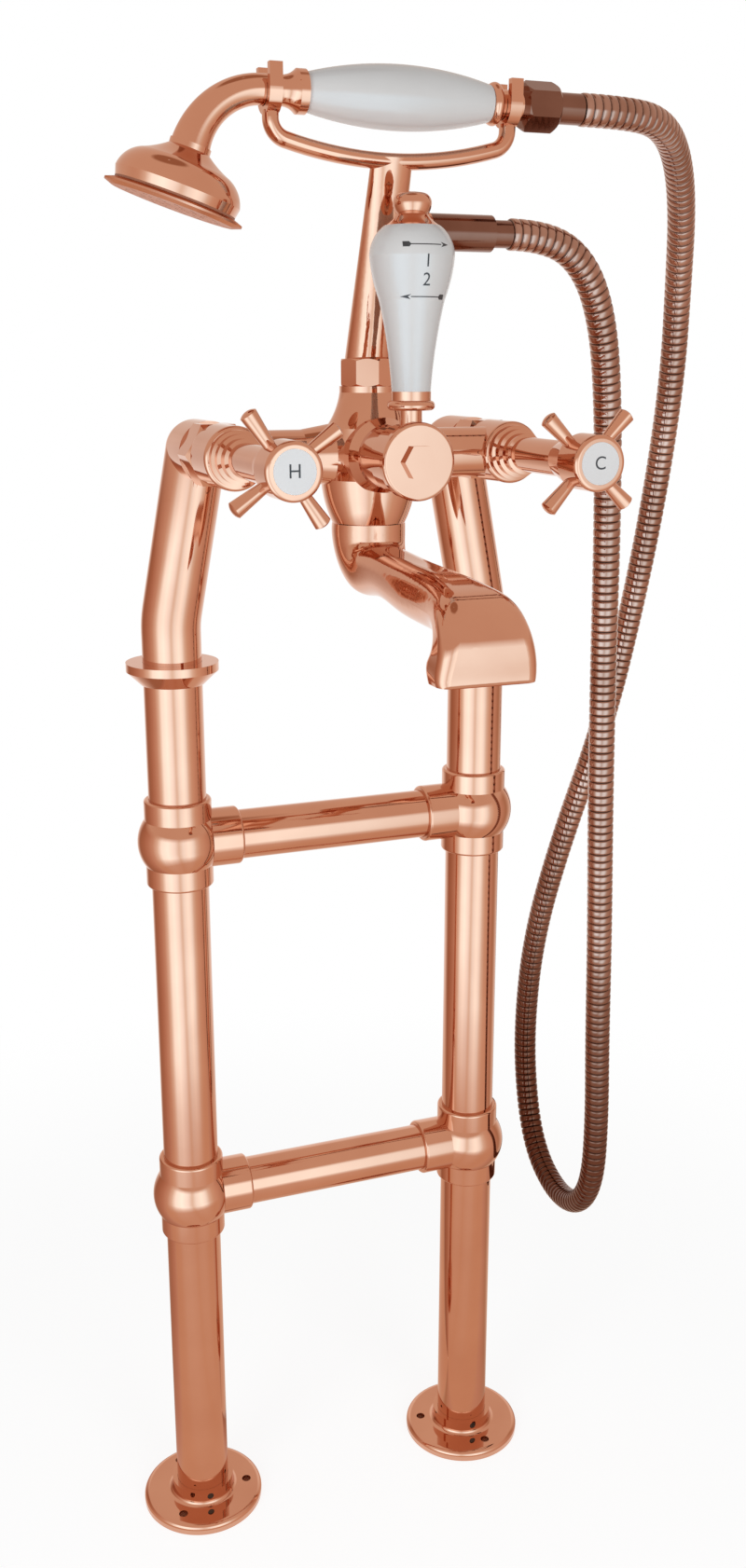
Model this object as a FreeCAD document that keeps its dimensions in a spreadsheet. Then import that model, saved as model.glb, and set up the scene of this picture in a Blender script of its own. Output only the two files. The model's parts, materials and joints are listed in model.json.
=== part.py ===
"""Freestanding bath mixer: two standpipes with crossbars, a lever diverter, a swivel spout and a hand shower.

Millimetres. +X runs from the hot leg to the cold leg, -Y is the spout's side and +Z is up.
The origin is on the floor, midway between the two supply pipes.
"""
import FreeCAD
import Part
import math
import os
import re
import Sketcher
from FreeCAD import Placement, Rotation, Vector

SIZES = {
    # clearances shared by all fits
    "fit_clearance": 0.05,
    "running_gap": 0.4,
    # standpipes, supply pipes and crossbars
    "leg_centres": 180.0,
    "tube_diameter": 32.0,
    "tube_wall": 2.4,
    "tube_foot_lift": 3.0,
    "supply_pipe_diameter": 22.0,
    "supply_pipe_wall": 1.2,
    "lower_tee_height": 217.0,
    "tee_spacing": 221.0,
    "crossbar_diameter": 28.0,
    "crossbar_wall": 1.5,
    # floor flanges
    "flange_rim": 18.0,
    "flange_thickness": 6.0,
    "flange_edge_round": 3.5,
    "flange_hub_wall": 2.95,
    "flange_hub_height": 15.0,
    "flange_hub_round": 3.0,
    "flange_screw_offset": 8.5,
    "flange_screw_hole": 5.5,
    "flange_screw_angle_hot": -11.0,
    "flange_screw_angle_cold": 41.0,
    "grub_screw_diameter": 4.0,
    # ball tees
    "tee_ball_swell": 4.25,
    "tee_collar_wall": 2.7,
    "tee_half_height": 25.0,
    "tee_socket_depth": 12.0,
    "tee_branch_wall": 2.45,
    "tee_branch_reach": 34.0,
    "tee_branch_socket_depth": 12.0,
    "tee_edge_round": 1.5,
    # shroud collars and inlet elbows
    "collar_rise": 102.0,
    "collar_overhang": 8.95,
    "collar_rim": 4.6,
    "collar_cone": 7.4,
    "collar_lap": 6.0,
    "elbow_crank_rise": 22.0,
    "elbow_crank_radius": 60.0,
    "elbow_wall": 6.0,
    "elbow_socket_depth": 18.0,
    # unions
    "union_nut_length": 20.0,
    "union_nut_wall": 2.5,
    "union_thread_wall": 2.5,
    "union_washer": 0.8,
    # mixer body
    "mixer_rise": 111.0,
    "valve_centres": 146.0,
    "body_reach": 62.0,
    "barrel_front": 15.0,
    "barrel_back": 14.0,
    "barrel_wall": 4.0,
    "barrel_edge_round": 2.0,
    "arm_diameter": 25.0,
    "arm_flare": 2.5,
    "arm_root_reach": 36.0,
    "arm_wall": 6.5,
    "bell_swell": 5.5,
    "bell_drop": 33.6,
    "bell_wide_drop": 12.0,
    "bell_curve": 55.0,
    "body_top_wall": 5.5,
    "body_top_rise": 33.0,
    "body_top_band": 3.0,
    "body_shoulder_width": 7.0,
    "body_shoulder_rise": 13.0,
    "body_shoulder_curve": 36.0,
    "sleeve_diameter": 31.0,
    "sleeve_flare": 3.0,
    "sleeve_root_reach": 27.0,
    "sleeve_reach": 45.6,
    # valve headworks and cross handles
    "headwork_socket_diameter": 23.0,
    "headwork_socket_depth": 12.0,
    "headwork_flange_diameter": 27.0,
    "headwork_flange_length": 4.0,
    "headwork_ring_diameter": 23.6,
    "headwork_ring_length": 4.5,
    "headwork_neck_diameter": 20.0,
    "headwork_neck_length": 6.5,
    "headwork_nose_diameter": 16.4,
    "headwork_nose_length": 4.0,
    "spindle_diameter": 8.0,
    "spindle_tail": 24.0,
    "spindle_drive": 46.0,
    "handle_shroud_diameter": 17.0,
    "handle_shroud_length": 36.0,
    "handle_flare_length": 18.0,
    "handle_hub_diameter": 26.0,
    "handle_length": 71.6,
    "handle_rim_round": 2.0,
    "spoke_setback": 12.5,
    "spoke_reach": 17.0,
    "spoke_root_diameter": 5.6,
    "spoke_tip_diameter": 8.0,
    "spoke_tip_dome": 1.4,
    "index_disc_margin": 3.4,
    "index_disc_thickness": 1.6,
    "handle_screw_diameter": 4.0,
    "handle_screw_head_diameter": 7.0,
    "handle_screw_head_depth": 3.0,
    "handle_screw_grip": 13.0,
    "hot_handle_angle": 35.0,
    "cold_handle_angle": 47.0,
    # diverter and its lever
    "diverter_hub_diameter": 33.0,
    "diverter_hub_length": 16.0,
    "diverter_cap_diameter": 36.0,
    "diverter_cap_thickness": 5.0,
    "diverter_cap_round": 1.6,
    "diverter_cap_head_flats": 14.5,
    "diverter_cap_head_height": 3.0,
    "diverter_spindle_diameter": 10.0,
    "diverter_spindle_length": 30.0,
    "diverter_spindle_seat": 6.0,
    "lever_setback": 6.0,
    "lever_seat_radius": 9.0,
    "lever_stem_diameter": 10.4,
    "lever_stem_top": 23.0,
    "lever_rod_diameter": 6.0,
    "lever_ring_diameter": 22.3,
    "lever_ring_height": 4.4,
    "lever_collar_diameter": 18.6,
    "lever_collar_height": 4.0,
    "lever_grip_foot_diameter": 18.2,
    "lever_grip_swell_diameter": 30.0,
    "lever_grip_swell_height": 40.0,
    "lever_grip_diameter": 38.8,
    "lever_grip_wide_height": 59.0,
    "lever_grip_top_diameter": 25.4,
    "lever_grip_height": 72.0,
    "lever_grip_hollow_curve": 240.0,
    "lever_grip_swell_curve": 70.0,
    "finial_neck_diameter": 14.0,
    "finial_skirt_height": 4.8,
    "finial_skirt_curve": 15.0,
    "finial_ball_diameter": 17.4,
    "finial_ball_height": 9.6,
    "finial_crown_diameter": 9.0,
    "finial_crown_height": 0.5,
    # spout
    "spout_collar_diameter": 37.0,
    "spout_collar_height": 9.5,
    "spout_spigot_diameter": 26.0,
    "spout_spigot_height": 15.0,
    "spout_wall": 2.0,
    "spout_bend_gap": 2.0,
    "spout_neck_width": 31.0,
    "spout_neck_height": 25.0,
    "spout_neck_fall": 5.6,
    "spout_reach": 139.5,
    "spout_hood_gap": 5.0,
    "spout_hood_root_width": 37.0,
    "spout_hood_root_height": 23.0,
    "spout_mouth_width": 46.5,
    "spout_mouth_depth": 20.0,
    "spout_lip_height": 11.0,
    "spout_ring_thickness": 1.6,
    "spout_ring_step": 6.0,
    # riser nut and cradle
    "riser_nut_flats": 26.7,
    "riser_nut_height": 13.0,
    "cradle_spigot_diameter": 18.0,
    "cradle_spigot_depth": 12.0,
    "riser_bore": 8.0,
    "column_base_diameter": 23.4,
    "column_top_width": 20.0,
    "column_top_depth": 10.6,
    "column_overlap": 1.3,
    "column_rise": 87.0,
    "column_rake": 31.0,
    "yoke_thickness": 7.3,
    "yoke_depth": 9.5,
    "yoke_end_angle": 15.5,
    "yoke_corner_radius": 9.0,
    "fork_reach": 13.0,
    "fork_width": 6.0,
    "fork_wall": 3.4,
    "fork_rise": 10.0,
    "fork_clearance": 0.35,
    "fork_stem": 3.0,
    "fork_sink": 1.92,
    "outlet_rise": 58.0,
    "outlet_boss_diameter": 18.0,
    "outlet_boss_reach": 22.0,
    "outlet_socket_diameter": 17.0,
    "outlet_socket_length": 33.0,
    "hose_ferrule_diameter": 12.8,
    "hose_ferrule_length": 10.0,
    # handset
    "handset_neck_diameter": 13.0,
    "handset_neck_end_diameter": 17.4,
    "handset_neck_straight": 7.4,
    "handset_neck_radius": 34.0,
    "handset_bore": 8.0,
    "rose_tilt": 18.0,
    "rose_roll": 6.5,
    "grip_shift": 3.0,
    "grip_length": 90.0,
    "grip_diameter": 27.8,
    "grip_end_diameter": 16.2,
    "water_tube_wall": 0.8,
    "water_tube_seat": 6.0,
    "front_ferrule_length": 12.0,
    "front_ferrule_band": 4.0,
    "front_ferrule_curve": 9.6,
    "ferrule_diameter": 18.9,
    "rear_bead_length": 5.0,
    "rear_ferrule_length": 17.4,
    "hose_nut_flats": 19.5,
    "hose_nut_length": 16.6,
    "end_ferrule_diameter": 14.0,
    "end_ferrule_length": 13.6,
    "rose_ring_diameter": 18.6,
    "rose_ring_length": 2.4,
    "rose_shoulder_diameter": 41.0,
    "rose_shoulder_depth": 8.6,
    "rose_hollow_curve": 45.0,
    "rose_dome_curve": 14.0,
    "rose_diameter": 57.0,
    "rose_wide_depth": 19.0,
    "rose_depth": 23.0,
    "rose_wall": 2.0,
    "rose_gasket": 1.0,
    "rose_plate_diameter": 63.0,
    "rose_plate_thickness": 3.4,
    "rose_plate_edge": 0.9,
    "spray_hole_diameter": 2.0,
    "spray_ring_step": 7.0,
    # ribbed hose
    "hose_diameter": 15.0,
    "hose_groove_depth": 1.1,
    "hose_bore": 8.0,
    "hose_start_run": 22.0,
    "hose_end_run": 27.0,
}

HOSE_RIBS = 190
RIB_RISE = 0.22
RIB_CREST = 0.5
SPOUT_STEPS = 4
ROUND_SHARE = 0.98
LIP_ROUND_SHARE = 0.62
SPRAY_RINGS = 3
SPRAY_HOLES_PER_RING = 6
FLANGE_SCREWS = 3
HANDLE_SPOKES = 4
FIRST_SPOKE = 45
HEXAGON = 6
OCTAGON = 8
# the share of the shorter run that a bend of the hose takes, and the distance at which two points are one
BEND_SHARE = 0.45
SAME_POINT = 1e-6

# the free hose: down from the outlet's ferrule to the foot of its loop, then up to the handset's ferrule
HOSE_DROP = [
    (45, 4, -13), (61, 12, -41), (71, 21, -85), (78, 29, -147), (81, 32, -223), (83, 32, -303),
    (87, 33, -387), (91, 37, -459), (95, 40, -515), (97, 45, -564), (99, 66, -594), (102, 101, -605),
]
HOSE_CLIMB = [
    (73, 146, -650), (75, 167, -620), (74, 173, -567), (74, 163, -493), (87, 150, -417), (107, 138, -341),
    (118, 127, -261), (123, 115, -189), (121, 100, -123), (111, 83, -73), (96, 59, -36), (76, 34, -13),
    (52, 11, -2),
]

# turns that point a piece's own Z axis up, to the front, to the right or to the left
UP = Rotation()
FRONT = Rotation(Vector(1, 0, 0), 90)
RIGHT = Rotation(Vector(0, 1, 0), 90)
LEFT = Rotation(Vector(0, 1, 0), -90)
SIDES = {"hot": -1, "cold": 1}

doc = FreeCAD.newDocument("bath_mixer")
sheet = doc.addObject("Spreadsheet::Sheet", "Sizes")
for row, (alias, size) in enumerate(SIZES.items(), start=1):
    sheet.set(f"A{row}", alias.replace("_", " "))
    sheet.set(f"B{row}", str(size))
    sheet.setAlias(f"B{row}", alias)
doc.recompute()

nodes = {}


def bound(text):
    """The expression with each size's name led by the sheet's name."""
    def led(word):
        return "Sizes." + word[0] if word[0] in SIZES else word[0]
    return re.sub(r"[a-z][a-z_]*", led, text)


def value(text):
    """The number that an expression of sizes comes to."""
    return float(sheet.evalExpression(bound(text)))


def keep(piece, label):
    """Name a finished piece as a node of the model."""
    piece.Label = label
    nodes[label] = piece
    return piece


def place(piece, turn, x="0", y="0", z="0"):
    """Stand a piece at a place that follows the sizes."""
    piece.Placement = Placement(Vector(), turn)
    for axis, text in (("x", x), ("y", y), ("z", z)):
        piece.setExpression("Placement.Base." + axis, bound(text))
    return piece


def own_plane(body, role):
    """One of a body's own origin planes."""
    return next(item for item in body.Origin.OriginFeatures if item.Role == role)


def attached_sketch(body, name, role, lift="0", spin=0):
    """An empty sketch on one of the body's origin planes, lifted off it by a size and turned in it."""
    sketch = body.newObject("Sketcher::SketchObject", name)
    sketch.AttachmentSupport = [(own_plane(body, role), "")]
    sketch.MapMode = "FlatFace"
    sketch.AttachmentOffset = Placement(Vector(), Rotation(Vector(0, 0, 1), spin))
    sketch.setExpression("AttachmentOffset.Base.z", bound(lift))
    return sketch


def arc_between(start, end, radius, side):
    """The arc of less than a half circle from start to end, with its centre left (1) or right (-1)."""
    chord = end - start
    middle = (start + end) * 0.5
    rise = math.sqrt(radius ** 2 - (chord.Length / 2) ** 2)
    normal = Vector(-chord.y, chord.x, 0).normalize()
    centre = middle + normal * (rise * side)
    circle = Part.Circle(centre, Vector(0, 0, 1), radius)
    angles = [math.atan2(point.y - centre.y, point.x - centre.x) for point in (start, end)]
    if side < 0:
        angles.reverse()
    return Part.ArcOfCircle(circle, angles[0], angles[1])


def draw_outline(sketch, corners):
    """A closed outline. A corner is (x, y), or (x, y, radius, side) where an arc leads to it."""
    points = [Vector(value(corner[0]), value(corner[1]), 0) for corner in corners]
    geometry = []
    starts = []
    ends = []
    for index, start in enumerate(points):
        target = (index + 1) % len(points)
        if len(corners[target]) == 2:
            geometry.append(Part.LineSegment(start, points[target]))
            starts.append(1)
            ends.append(2)
        else:
            radius, side = corners[target][2:]
            geometry.append(arc_between(start, points[target], value(radius), side))
            starts.append(1 if side > 0 else 2)
            ends.append(2 if side > 0 else 1)
    sketch.addGeometry(geometry, False)
    constraints = []
    texts = []
    for index, corner in enumerate(corners):
        following = (index + 1) % len(corners)
        meeting = Sketcher.Constraint("Coincident", index, ends[index], following, starts[following])
        constraints.append(meeting)
        texts.append(None)
        for kind, text in (("DistanceX", corner[0]), ("DistanceY", corner[1])):
            constraints.append(Sketcher.Constraint(kind, -1, 1, index, starts[index], value(text)))
            texts.append(text)
        if len(corner) > 2:
            arc_index = (index - 1) % len(corners)
            constraints.append(Sketcher.Constraint("Radius", arc_index, value(corner[2])))
            texts.append(corner[2])
    sketch.addConstraint(constraints)
    for index, text in enumerate(texts):
        if text:
            sketch.setExpression(f"Constraints[{index}]", bound(text))


def turned(label, corners, turn=UP, x="0", y="0", z="0"):
    """A body turned about its own Z axis from an outline of (radius, height) corners."""
    body = doc.addObject("PartDesign::Body", label)
    sketch = attached_sketch(body, label + "_outline", "XZ_Plane")
    draw_outline(sketch, corners)
    revolution = body.newObject("PartDesign::Revolution", label + "_turn")
    revolution.Profile = sketch
    revolution.ReferenceAxis = (sketch, ["V_Axis"])
    revolution.Angle = 360
    return place(body, turn, x, y, z)


def ring(inner, outer, low, high):
    """The outline of a plain ring between two radii and two heights."""
    return [(inner, low), (outer, low), (outer, high), (inner, high)]


def rod(radius, low, high):
    """The outline of a plain round bar between two heights."""
    return ring("0", radius, low, high)


def prism(label, sides, flats, height):
    """A regular prism with a given size across its flats."""
    piece = doc.addObject("Part::Prism", label)
    piece.Polygon = sides
    piece.setExpression("Circumradius", bound(f"({flats}) / 2 / cos(180 / {sides})"))
    piece.setExpression("Height", bound(height))
    return piece


def fused(label, pieces):
    """One solid made of several."""
    piece = doc.addObject("Part::MultiFuse", label)
    piece.Shapes = pieces
    piece.Refine = True
    return piece


def cut(label, base, tool):
    """A solid less another."""
    piece = doc.addObject("Part::Cut", label)
    piece.Base = base
    piece.Tool = tool
    piece.Refine = True
    return piece


def common(label, base, tool):
    """What two solids share."""
    piece = doc.addObject("Part::Common", label)
    piece.Base = base
    piece.Tool = tool
    piece.Refine = True
    return piece


def upright_arc(wide, narrow, height):
    """The radius of an arc that is upright at its wide end and reaches its narrow end within a height."""
    step = f"({wide} - ({narrow}))"
    return f"({step} ^ 2 + ({height}) ^ 2) / (2 * {step})"


def round_holes(body, name, radius_out, angle, diameter, count):
    """Holes through a body along its Z axis, spaced evenly on a circle."""
    sketch = attached_sketch(body, name + "_outline", "XY_Plane")
    middle = Vector(value(f"({radius_out}) * cos({angle})"), value(f"({radius_out}) * sin({angle})"), 0)
    sketch.addGeometry(Part.Circle(middle, Vector(0, 0, 1), value(f"({diameter}) / 2")), False)
    texts = [f"({radius_out}) * cos({angle})", f"({radius_out}) * sin({angle})", f"({diameter}) / 2"]
    sketch.addConstraint([
        Sketcher.Constraint("DistanceX", -1, 1, 0, 3, value(texts[0])),
        Sketcher.Constraint("DistanceY", -1, 1, 0, 3, value(texts[1])),
        Sketcher.Constraint("Radius", 0, value(texts[2])),
    ])
    for index, text in enumerate(texts):
        sketch.setExpression(f"Constraints[{index}]", bound(text))
    pocket = body.newObject("PartDesign::Pocket", name)
    pocket.Profile = sketch
    pocket.Type = "ThroughAll"
    pocket.Midplane = True
    pattern = body.newObject("PartDesign::PolarPattern", name + "_pattern")
    pattern.Originals = [pocket]
    pattern.Axis = (sketch, ["N_Axis"])
    pattern.Angle = 360
    pattern.Occurrences = count
    body.Tip = pattern


def tangent_wire(points, radii):
    """Straight runs joined by tangent arcs. Each inner point has its radius."""
    edges = []
    last = points[0]
    for before, corner, after, radius in zip(points, points[1:], points[2:], radii):
        inward = (corner - before).normalize()
        outward = (after - corner).normalize()
        turn = inward.getAngle(outward)
        reach = radius * math.tan(turn / 2)
        first = corner - inward * reach
        end = corner + outward * reach
        towards = (outward - inward).normalize()
        middle = corner + towards * (radius / math.cos(turn / 2) - radius)
        if (first - last).Length > SAME_POINT:
            edges.append(Part.LineSegment(last, first).toShape())
        edges.append(Part.Arc(first, middle, end).toShape())
        last = end
    edges.append(Part.LineSegment(last, points[-1]).toShape())
    return Part.Wire(edges)


def round_sweep(wire, radius):
    """A round bar along a wire of tangent runs and arcs."""
    first = wire.OrderedEdges[0]
    start = first.valueAt(first.FirstParameter)
    along = first.tangentAt(first.FirstParameter)
    circle = Part.Wire(Part.Circle(start, along, radius).toShape())
    return wire.makePipeShell([circle], True, False)


def feature(label, shape):
    """A document object for a shape made with Part's own functions."""
    piece = doc.addObject("Part::Feature", label)
    piece.Shape = shape
    piece.Placement = Placement()
    return piece


# places shared by several pieces
TEE_Z = {"lower": "lower_tee_height", "upper": "(lower_tee_height + tee_spacing)"}
COLLAR_TOP_Z = "(lower_tee_height + tee_spacing + collar_rise)"
MIXER_Z = f"({COLLAR_TOP_Z} + mixer_rise)"
LEG_X = "leg_centres / 2"
TUBE_RADIUS = "tube_diameter / 2"
TUBE_BORE_RADIUS = "(tube_diameter / 2 - tube_wall)"
TUBE_SOCKET_RADIUS = "(tube_diameter / 2 + fit_clearance)"
PIPE_RADIUS = "supply_pipe_diameter / 2"
CROSSBAR_SOCKET_RADIUS = "(crossbar_diameter / 2 + fit_clearance)"
ELBOW_BORE_RADIUS = "(tube_diameter / 2 - elbow_wall)"
THREAD_RADIUS = f"({ELBOW_BORE_RADIUS} + union_thread_wall)"
TEE_STOP = "(tee_half_height - tee_socket_depth)"
BRANCH_STOP = "(tee_branch_reach - tee_branch_socket_depth)"
TUBE_TOP_Z = f"({COLLAR_TOP_Z} - collar_lap)"
VALVE_X = "valve_centres / 2"
BARREL_BACK = "(body_reach - barrel_back)"
UNION_REACH = "(body_reach - barrel_back - union_nut_length)"
BARREL_REACH = "(body_reach + barrel_front)"
VALVE_SEAT = "(body_reach + barrel_front - headwork_socket_depth)"
THREAD_LENGTH = "((union_nut_length - union_washer) / 2)"
BODY_TOP_Z = f"({MIXER_Z} + body_top_rise)"
BODY_TOP_RADIUS = "(cradle_spigot_diameter / 2 + body_top_wall)"
SHOULDER_RADIUS = f"({BODY_TOP_RADIUS} + body_shoulder_width)"
BELL_Z = f"({MIXER_Z} - bell_drop)"
SLEEVE_FRONT = "(body_reach + sleeve_reach)"
HUB_BACK = "(body_reach + sleeve_reach + running_gap)"
LEVER_Y = "-(body_reach + sleeve_reach + running_gap + diverter_hub_length - lever_setback)"
HEADWORK_OUT = ("(headwork_flange_length + headwork_ring_length + headwork_neck_length"
                " + headwork_nose_length)")
HANDLE_BACK = f"({BARREL_REACH} + {HEADWORK_OUT} + running_gap)"
STEM_TOP_Z = f"({MIXER_Z} + lever_stem_top)"
GRIP_FOOT_Z = f"({STEM_TOP_Z} + lever_ring_height + lever_collar_height)"
GRIP_TOP_Z = f"({GRIP_FOOT_Z} + lever_grip_height)"
COLUMN_BASE_Z = f"({BODY_TOP_Z} + riser_nut_height)"
COLUMN_TOP_Z = f"({COLUMN_BASE_Z} + column_rise)"
FORK_X = "(grip_length / 2 + fork_reach)"
YOKE_BEND_X = f"({FORK_X} - yoke_corner_radius * (1 - sin(yoke_end_angle)))"
YOKE_SAG = f"({YOKE_BEND_X} / sin(yoke_end_angle) * (1 - cos(yoke_end_angle)))"
FORK_RADIUS = "(handset_neck_diameter / 2 + fork_clearance + fork_wall)"
HANDSET_Z = (f"({COLUMN_TOP_Z} + {YOKE_SAG} + yoke_corner_radius * cos(yoke_end_angle)"
             f" + fork_stem + {FORK_RADIUS} - fork_sink)")
HANDSET_Y = "-(body_reach + column_rake)"
OUTLET_Z = f"({COLUMN_BASE_Z} + outlet_rise)"
OUTLET_Y = "-(body_reach + column_rake * outlet_rise / column_rise)"
OUTLET_X = "(outlet_boss_reach + outlet_socket_length)"
GRIP_LEFT = "(grip_shift - grip_length / 2)"
GRIP_RIGHT = "(grip_shift + grip_length / 2)"
NUT_X = f"({GRIP_RIGHT} + rear_ferrule_length)"
END_FERRULE_X = f"({NUT_X} + hose_nut_length)"


def standpipe_tubes(name, side):
    """The three lengths of tube of a leg and the supply pipe inside them."""
    spans = {
        "lower": ("tube_foot_lift", f"{TEE_Z['lower']} - {TEE_STOP}"),
        "middle": (f"{TEE_Z['lower']} + {TEE_STOP}", f"{TEE_Z['upper']} - {TEE_STOP}"),
        "upper": (f"{TEE_Z['upper']} + {TEE_STOP}", TUBE_TOP_Z),
    }
    for level, (low, high) in spans.items():
        label = f"{name}_{level}_standpipe"
        outline = ring(TUBE_BORE_RADIUS, TUBE_RADIUS, "0", f"{high} - ({low})")
        keep(turned(label, outline, x=f"{side} * {LEG_X}", z=low), label)
    label = f"{name}_supply_pipe"
    bore = f"{PIPE_RADIUS} - supply_pipe_wall"
    outline = ring(bore, PIPE_RADIUS, "0", f"{TUBE_TOP_Z} + elbow_socket_depth")
    keep(turned(label, outline, x=f"{side} * {LEG_X}"), label)


def floor_flange(name, side):
    """The foot that screws to the floor, with a hub that grips the standpipe."""
    label = f"{name}_floor_flange"
    hub = f"({TUBE_SOCKET_RADIUS} + flange_hub_wall)"
    rim = f"({hub} + flange_rim)"
    outline = [
        (f"{PIPE_RADIUS} + running_gap", "0"),
        (rim, "0"),
        (rim, "flange_thickness - flange_edge_round"),
        (f"{rim} - flange_edge_round", "flange_thickness", "flange_edge_round", 1),
        (f"{hub} + flange_hub_round", "flange_thickness"),
        (hub, "flange_thickness + flange_hub_round", "flange_hub_round", -1),
        (hub, "flange_hub_height"),
        (TUBE_SOCKET_RADIUS, "flange_hub_height"),
        (TUBE_SOCKET_RADIUS, "tube_foot_lift"),
        (f"{PIPE_RADIUS} + running_gap", "tube_foot_lift"),
    ]
    body = turned(f"{name}_flange_casting", outline, x=f"{side} * {LEG_X}")
    round_holes(body, f"{name}_flange_holes", f"{hub} + flange_screw_offset", f"flange_screw_angle_{name}",
                "flange_screw_hole", FLANGE_SCREWS)
    grub_height = "(flange_hub_height + flange_thickness + flange_hub_round) / 2"
    hole_outline = rod("grub_screw_diameter / 2 + fit_clearance", "0", hub + " + running_gap")
    hole = turned(f"{name}_grub_hole", hole_outline, FRONT, x=f"{side} * {LEG_X}", z=grub_height)
    keep(cut(label, body, hole), label)
    return turned(f"{name}_grub_screw", rod("grub_screw_diameter / 2", TUBE_RADIUS, f"{hub} - running_gap"),
                  FRONT, x=f"{side} * {LEG_X}", z=grub_height)


def ball_tee(name, side, level):
    """A ball tee that joins two lengths of standpipe to a crossbar."""
    label = f"{name}_{level}_tee"
    height = TEE_Z[level]
    away = f"{side} * {LEG_X}"
    collar = f"({TUBE_SOCKET_RADIUS} + tee_collar_wall)"
    ball = f"({collar} + tee_ball_swell)"
    neck = f"sqrt({ball} ^ 2 - {collar} ^ 2)"
    branch_radius = f"({CROSSBAR_SOCKET_RADIUS} + tee_branch_wall)"
    post = turned(label + "_post", [
        ("0", "-tee_half_height"),
        (f"{collar} - tee_edge_round", "-tee_half_height"),
        (collar, "-tee_half_height + tee_edge_round", "tee_edge_round", 1),
        (collar, f"-{neck}"),
        (collar, neck, ball, 1),
        (collar, "tee_half_height - tee_edge_round"),
        (f"{collar} - tee_edge_round", "tee_half_height", "tee_edge_round", 1),
        ("0", "tee_half_height"),
    ], x=away, z=height)
    branch = turned(label + "_branch", [
        ("0", "0"),
        (branch_radius, "0"),
        (branch_radius, "tee_branch_reach - tee_edge_round"),
        (f"{branch_radius} - tee_edge_round", "tee_branch_reach", "tee_edge_round", 1),
        ("0", "tee_branch_reach"),
    ], RIGHT if side < 0 else LEFT, x=away, z=height)
    bore = turned(label + "_bore", [
        ("0", "-tee_half_height - running_gap"),
        (TUBE_SOCKET_RADIUS, "-tee_half_height - running_gap"),
        (TUBE_SOCKET_RADIUS, f"-{TEE_STOP}"),
        (TUBE_BORE_RADIUS, f"-{TEE_STOP}"),
        (TUBE_BORE_RADIUS, TEE_STOP),
        (TUBE_SOCKET_RADIUS, TEE_STOP),
        (TUBE_SOCKET_RADIUS, "tee_half_height + running_gap"),
        ("0", "tee_half_height + running_gap"),
    ], x=away, z=height)
    socket_outline = rod(CROSSBAR_SOCKET_RADIUS, BRANCH_STOP, "tee_branch_reach + running_gap")
    socket = turned(label + "_socket", socket_outline, RIGHT if side < 0 else LEFT, x=away, z=height)
    casting = fused(label + "_casting", [post, branch])
    keep(cut(label, casting, fused(label + "_hollows", [bore, socket])), label)


def crossbar(level):
    """The tube between the two tees of one level."""
    label = f"{level}_crossbar"
    outline = ring("crossbar_diameter / 2 - crossbar_wall", "crossbar_diameter / 2", "0",
                   f"leg_centres - 2 * {BRANCH_STOP}")
    keep(turned(label, outline, RIGHT, x=f"{BRANCH_STOP} - {LEG_X}", z=TEE_Z[level]), label)


def shroud_collar(name, side):
    """The ring that caps the standpipe and holds the foot of the elbow."""
    label = f"{name}_shroud_collar"
    rim = f"({TUBE_SOCKET_RADIUS} + collar_overhang)"
    outline = [
        (TUBE_SOCKET_RADIUS, "0"),
        (f"{TUBE_SOCKET_RADIUS} + tube_wall / 2", "0"),
        (rim, "collar_cone"),
        (rim, "collar_cone + collar_rim"),
        (TUBE_SOCKET_RADIUS, "collar_cone + collar_rim"),
    ]
    keep(turned(label, outline, x=f"{side} * {LEG_X}", z=f"{COLLAR_TOP_Z} - collar_cone - collar_rim"), label)


def inlet_elbow(name, side):
    """The cranked pipe that leans in above the collar and turns forward at a ball corner to the union."""
    label = f"{name}_inlet_elbow"
    leg = side * value(LEG_X)
    foot = Vector(leg, 0, value(TUBE_TOP_Z))
    crank = Vector(leg, 0, value(f"{COLLAR_TOP_Z} + elbow_crank_rise"))
    corner = Vector(side * value(VALVE_X), 0, value(MIXER_Z))
    rise = tangent_wire([foot, crank, corner], [value("elbow_crank_radius")])
    front = Vector(0, -1, 0)
    reach = value(UNION_REACH)

    def bar(radius, length):
        """The elbow's course as a round bar that runs forward from the corner by a length."""
        run = Part.makeCylinder(radius, length, corner, front)
        return round_sweep(rise, radius).fuse([Part.makeSphere(radius, corner), run])

    tail = Part.makeCylinder(value(THREAD_RADIUS), value(THREAD_LENGTH), corner + front * reach, front)
    socket = Part.makeCylinder(value(f"{PIPE_RADIUS} + fit_clearance"), value("elbow_socket_depth"), foot)
    waterway = bar(value(ELBOW_BORE_RADIUS), reach + value(THREAD_LENGTH))
    shape = bar(value(TUBE_RADIUS), reach).fuse(tail).cut([waterway, socket])
    keep(feature(label, shape.removeSplitter()), label)


def nut(label, sides, flats, length, bore):
    """A nut with chamfered corners at both ends, standing on its own Z axis."""
    blank = prism(label + "_prism", sides, flats, length)
    corner = f"(({flats}) / 2 / cos(180 / {sides}))"
    chamfer = f"({corner} - ({flats}) / 2)"
    dome = turned(label + "_chamfer", [
        ("0", "0"),
        (f"({flats}) / 2", "0"),
        (corner, chamfer),
        (corner, f"{length} - {chamfer}"),
        (f"({flats}) / 2", length),
        ("0", length),
    ])
    hole = turned(label + "_bore", rod(bore, "-running_gap", f"{length} + running_gap"))
    return cut(label, common(label + "_blank", blank, dome), hole)


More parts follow.
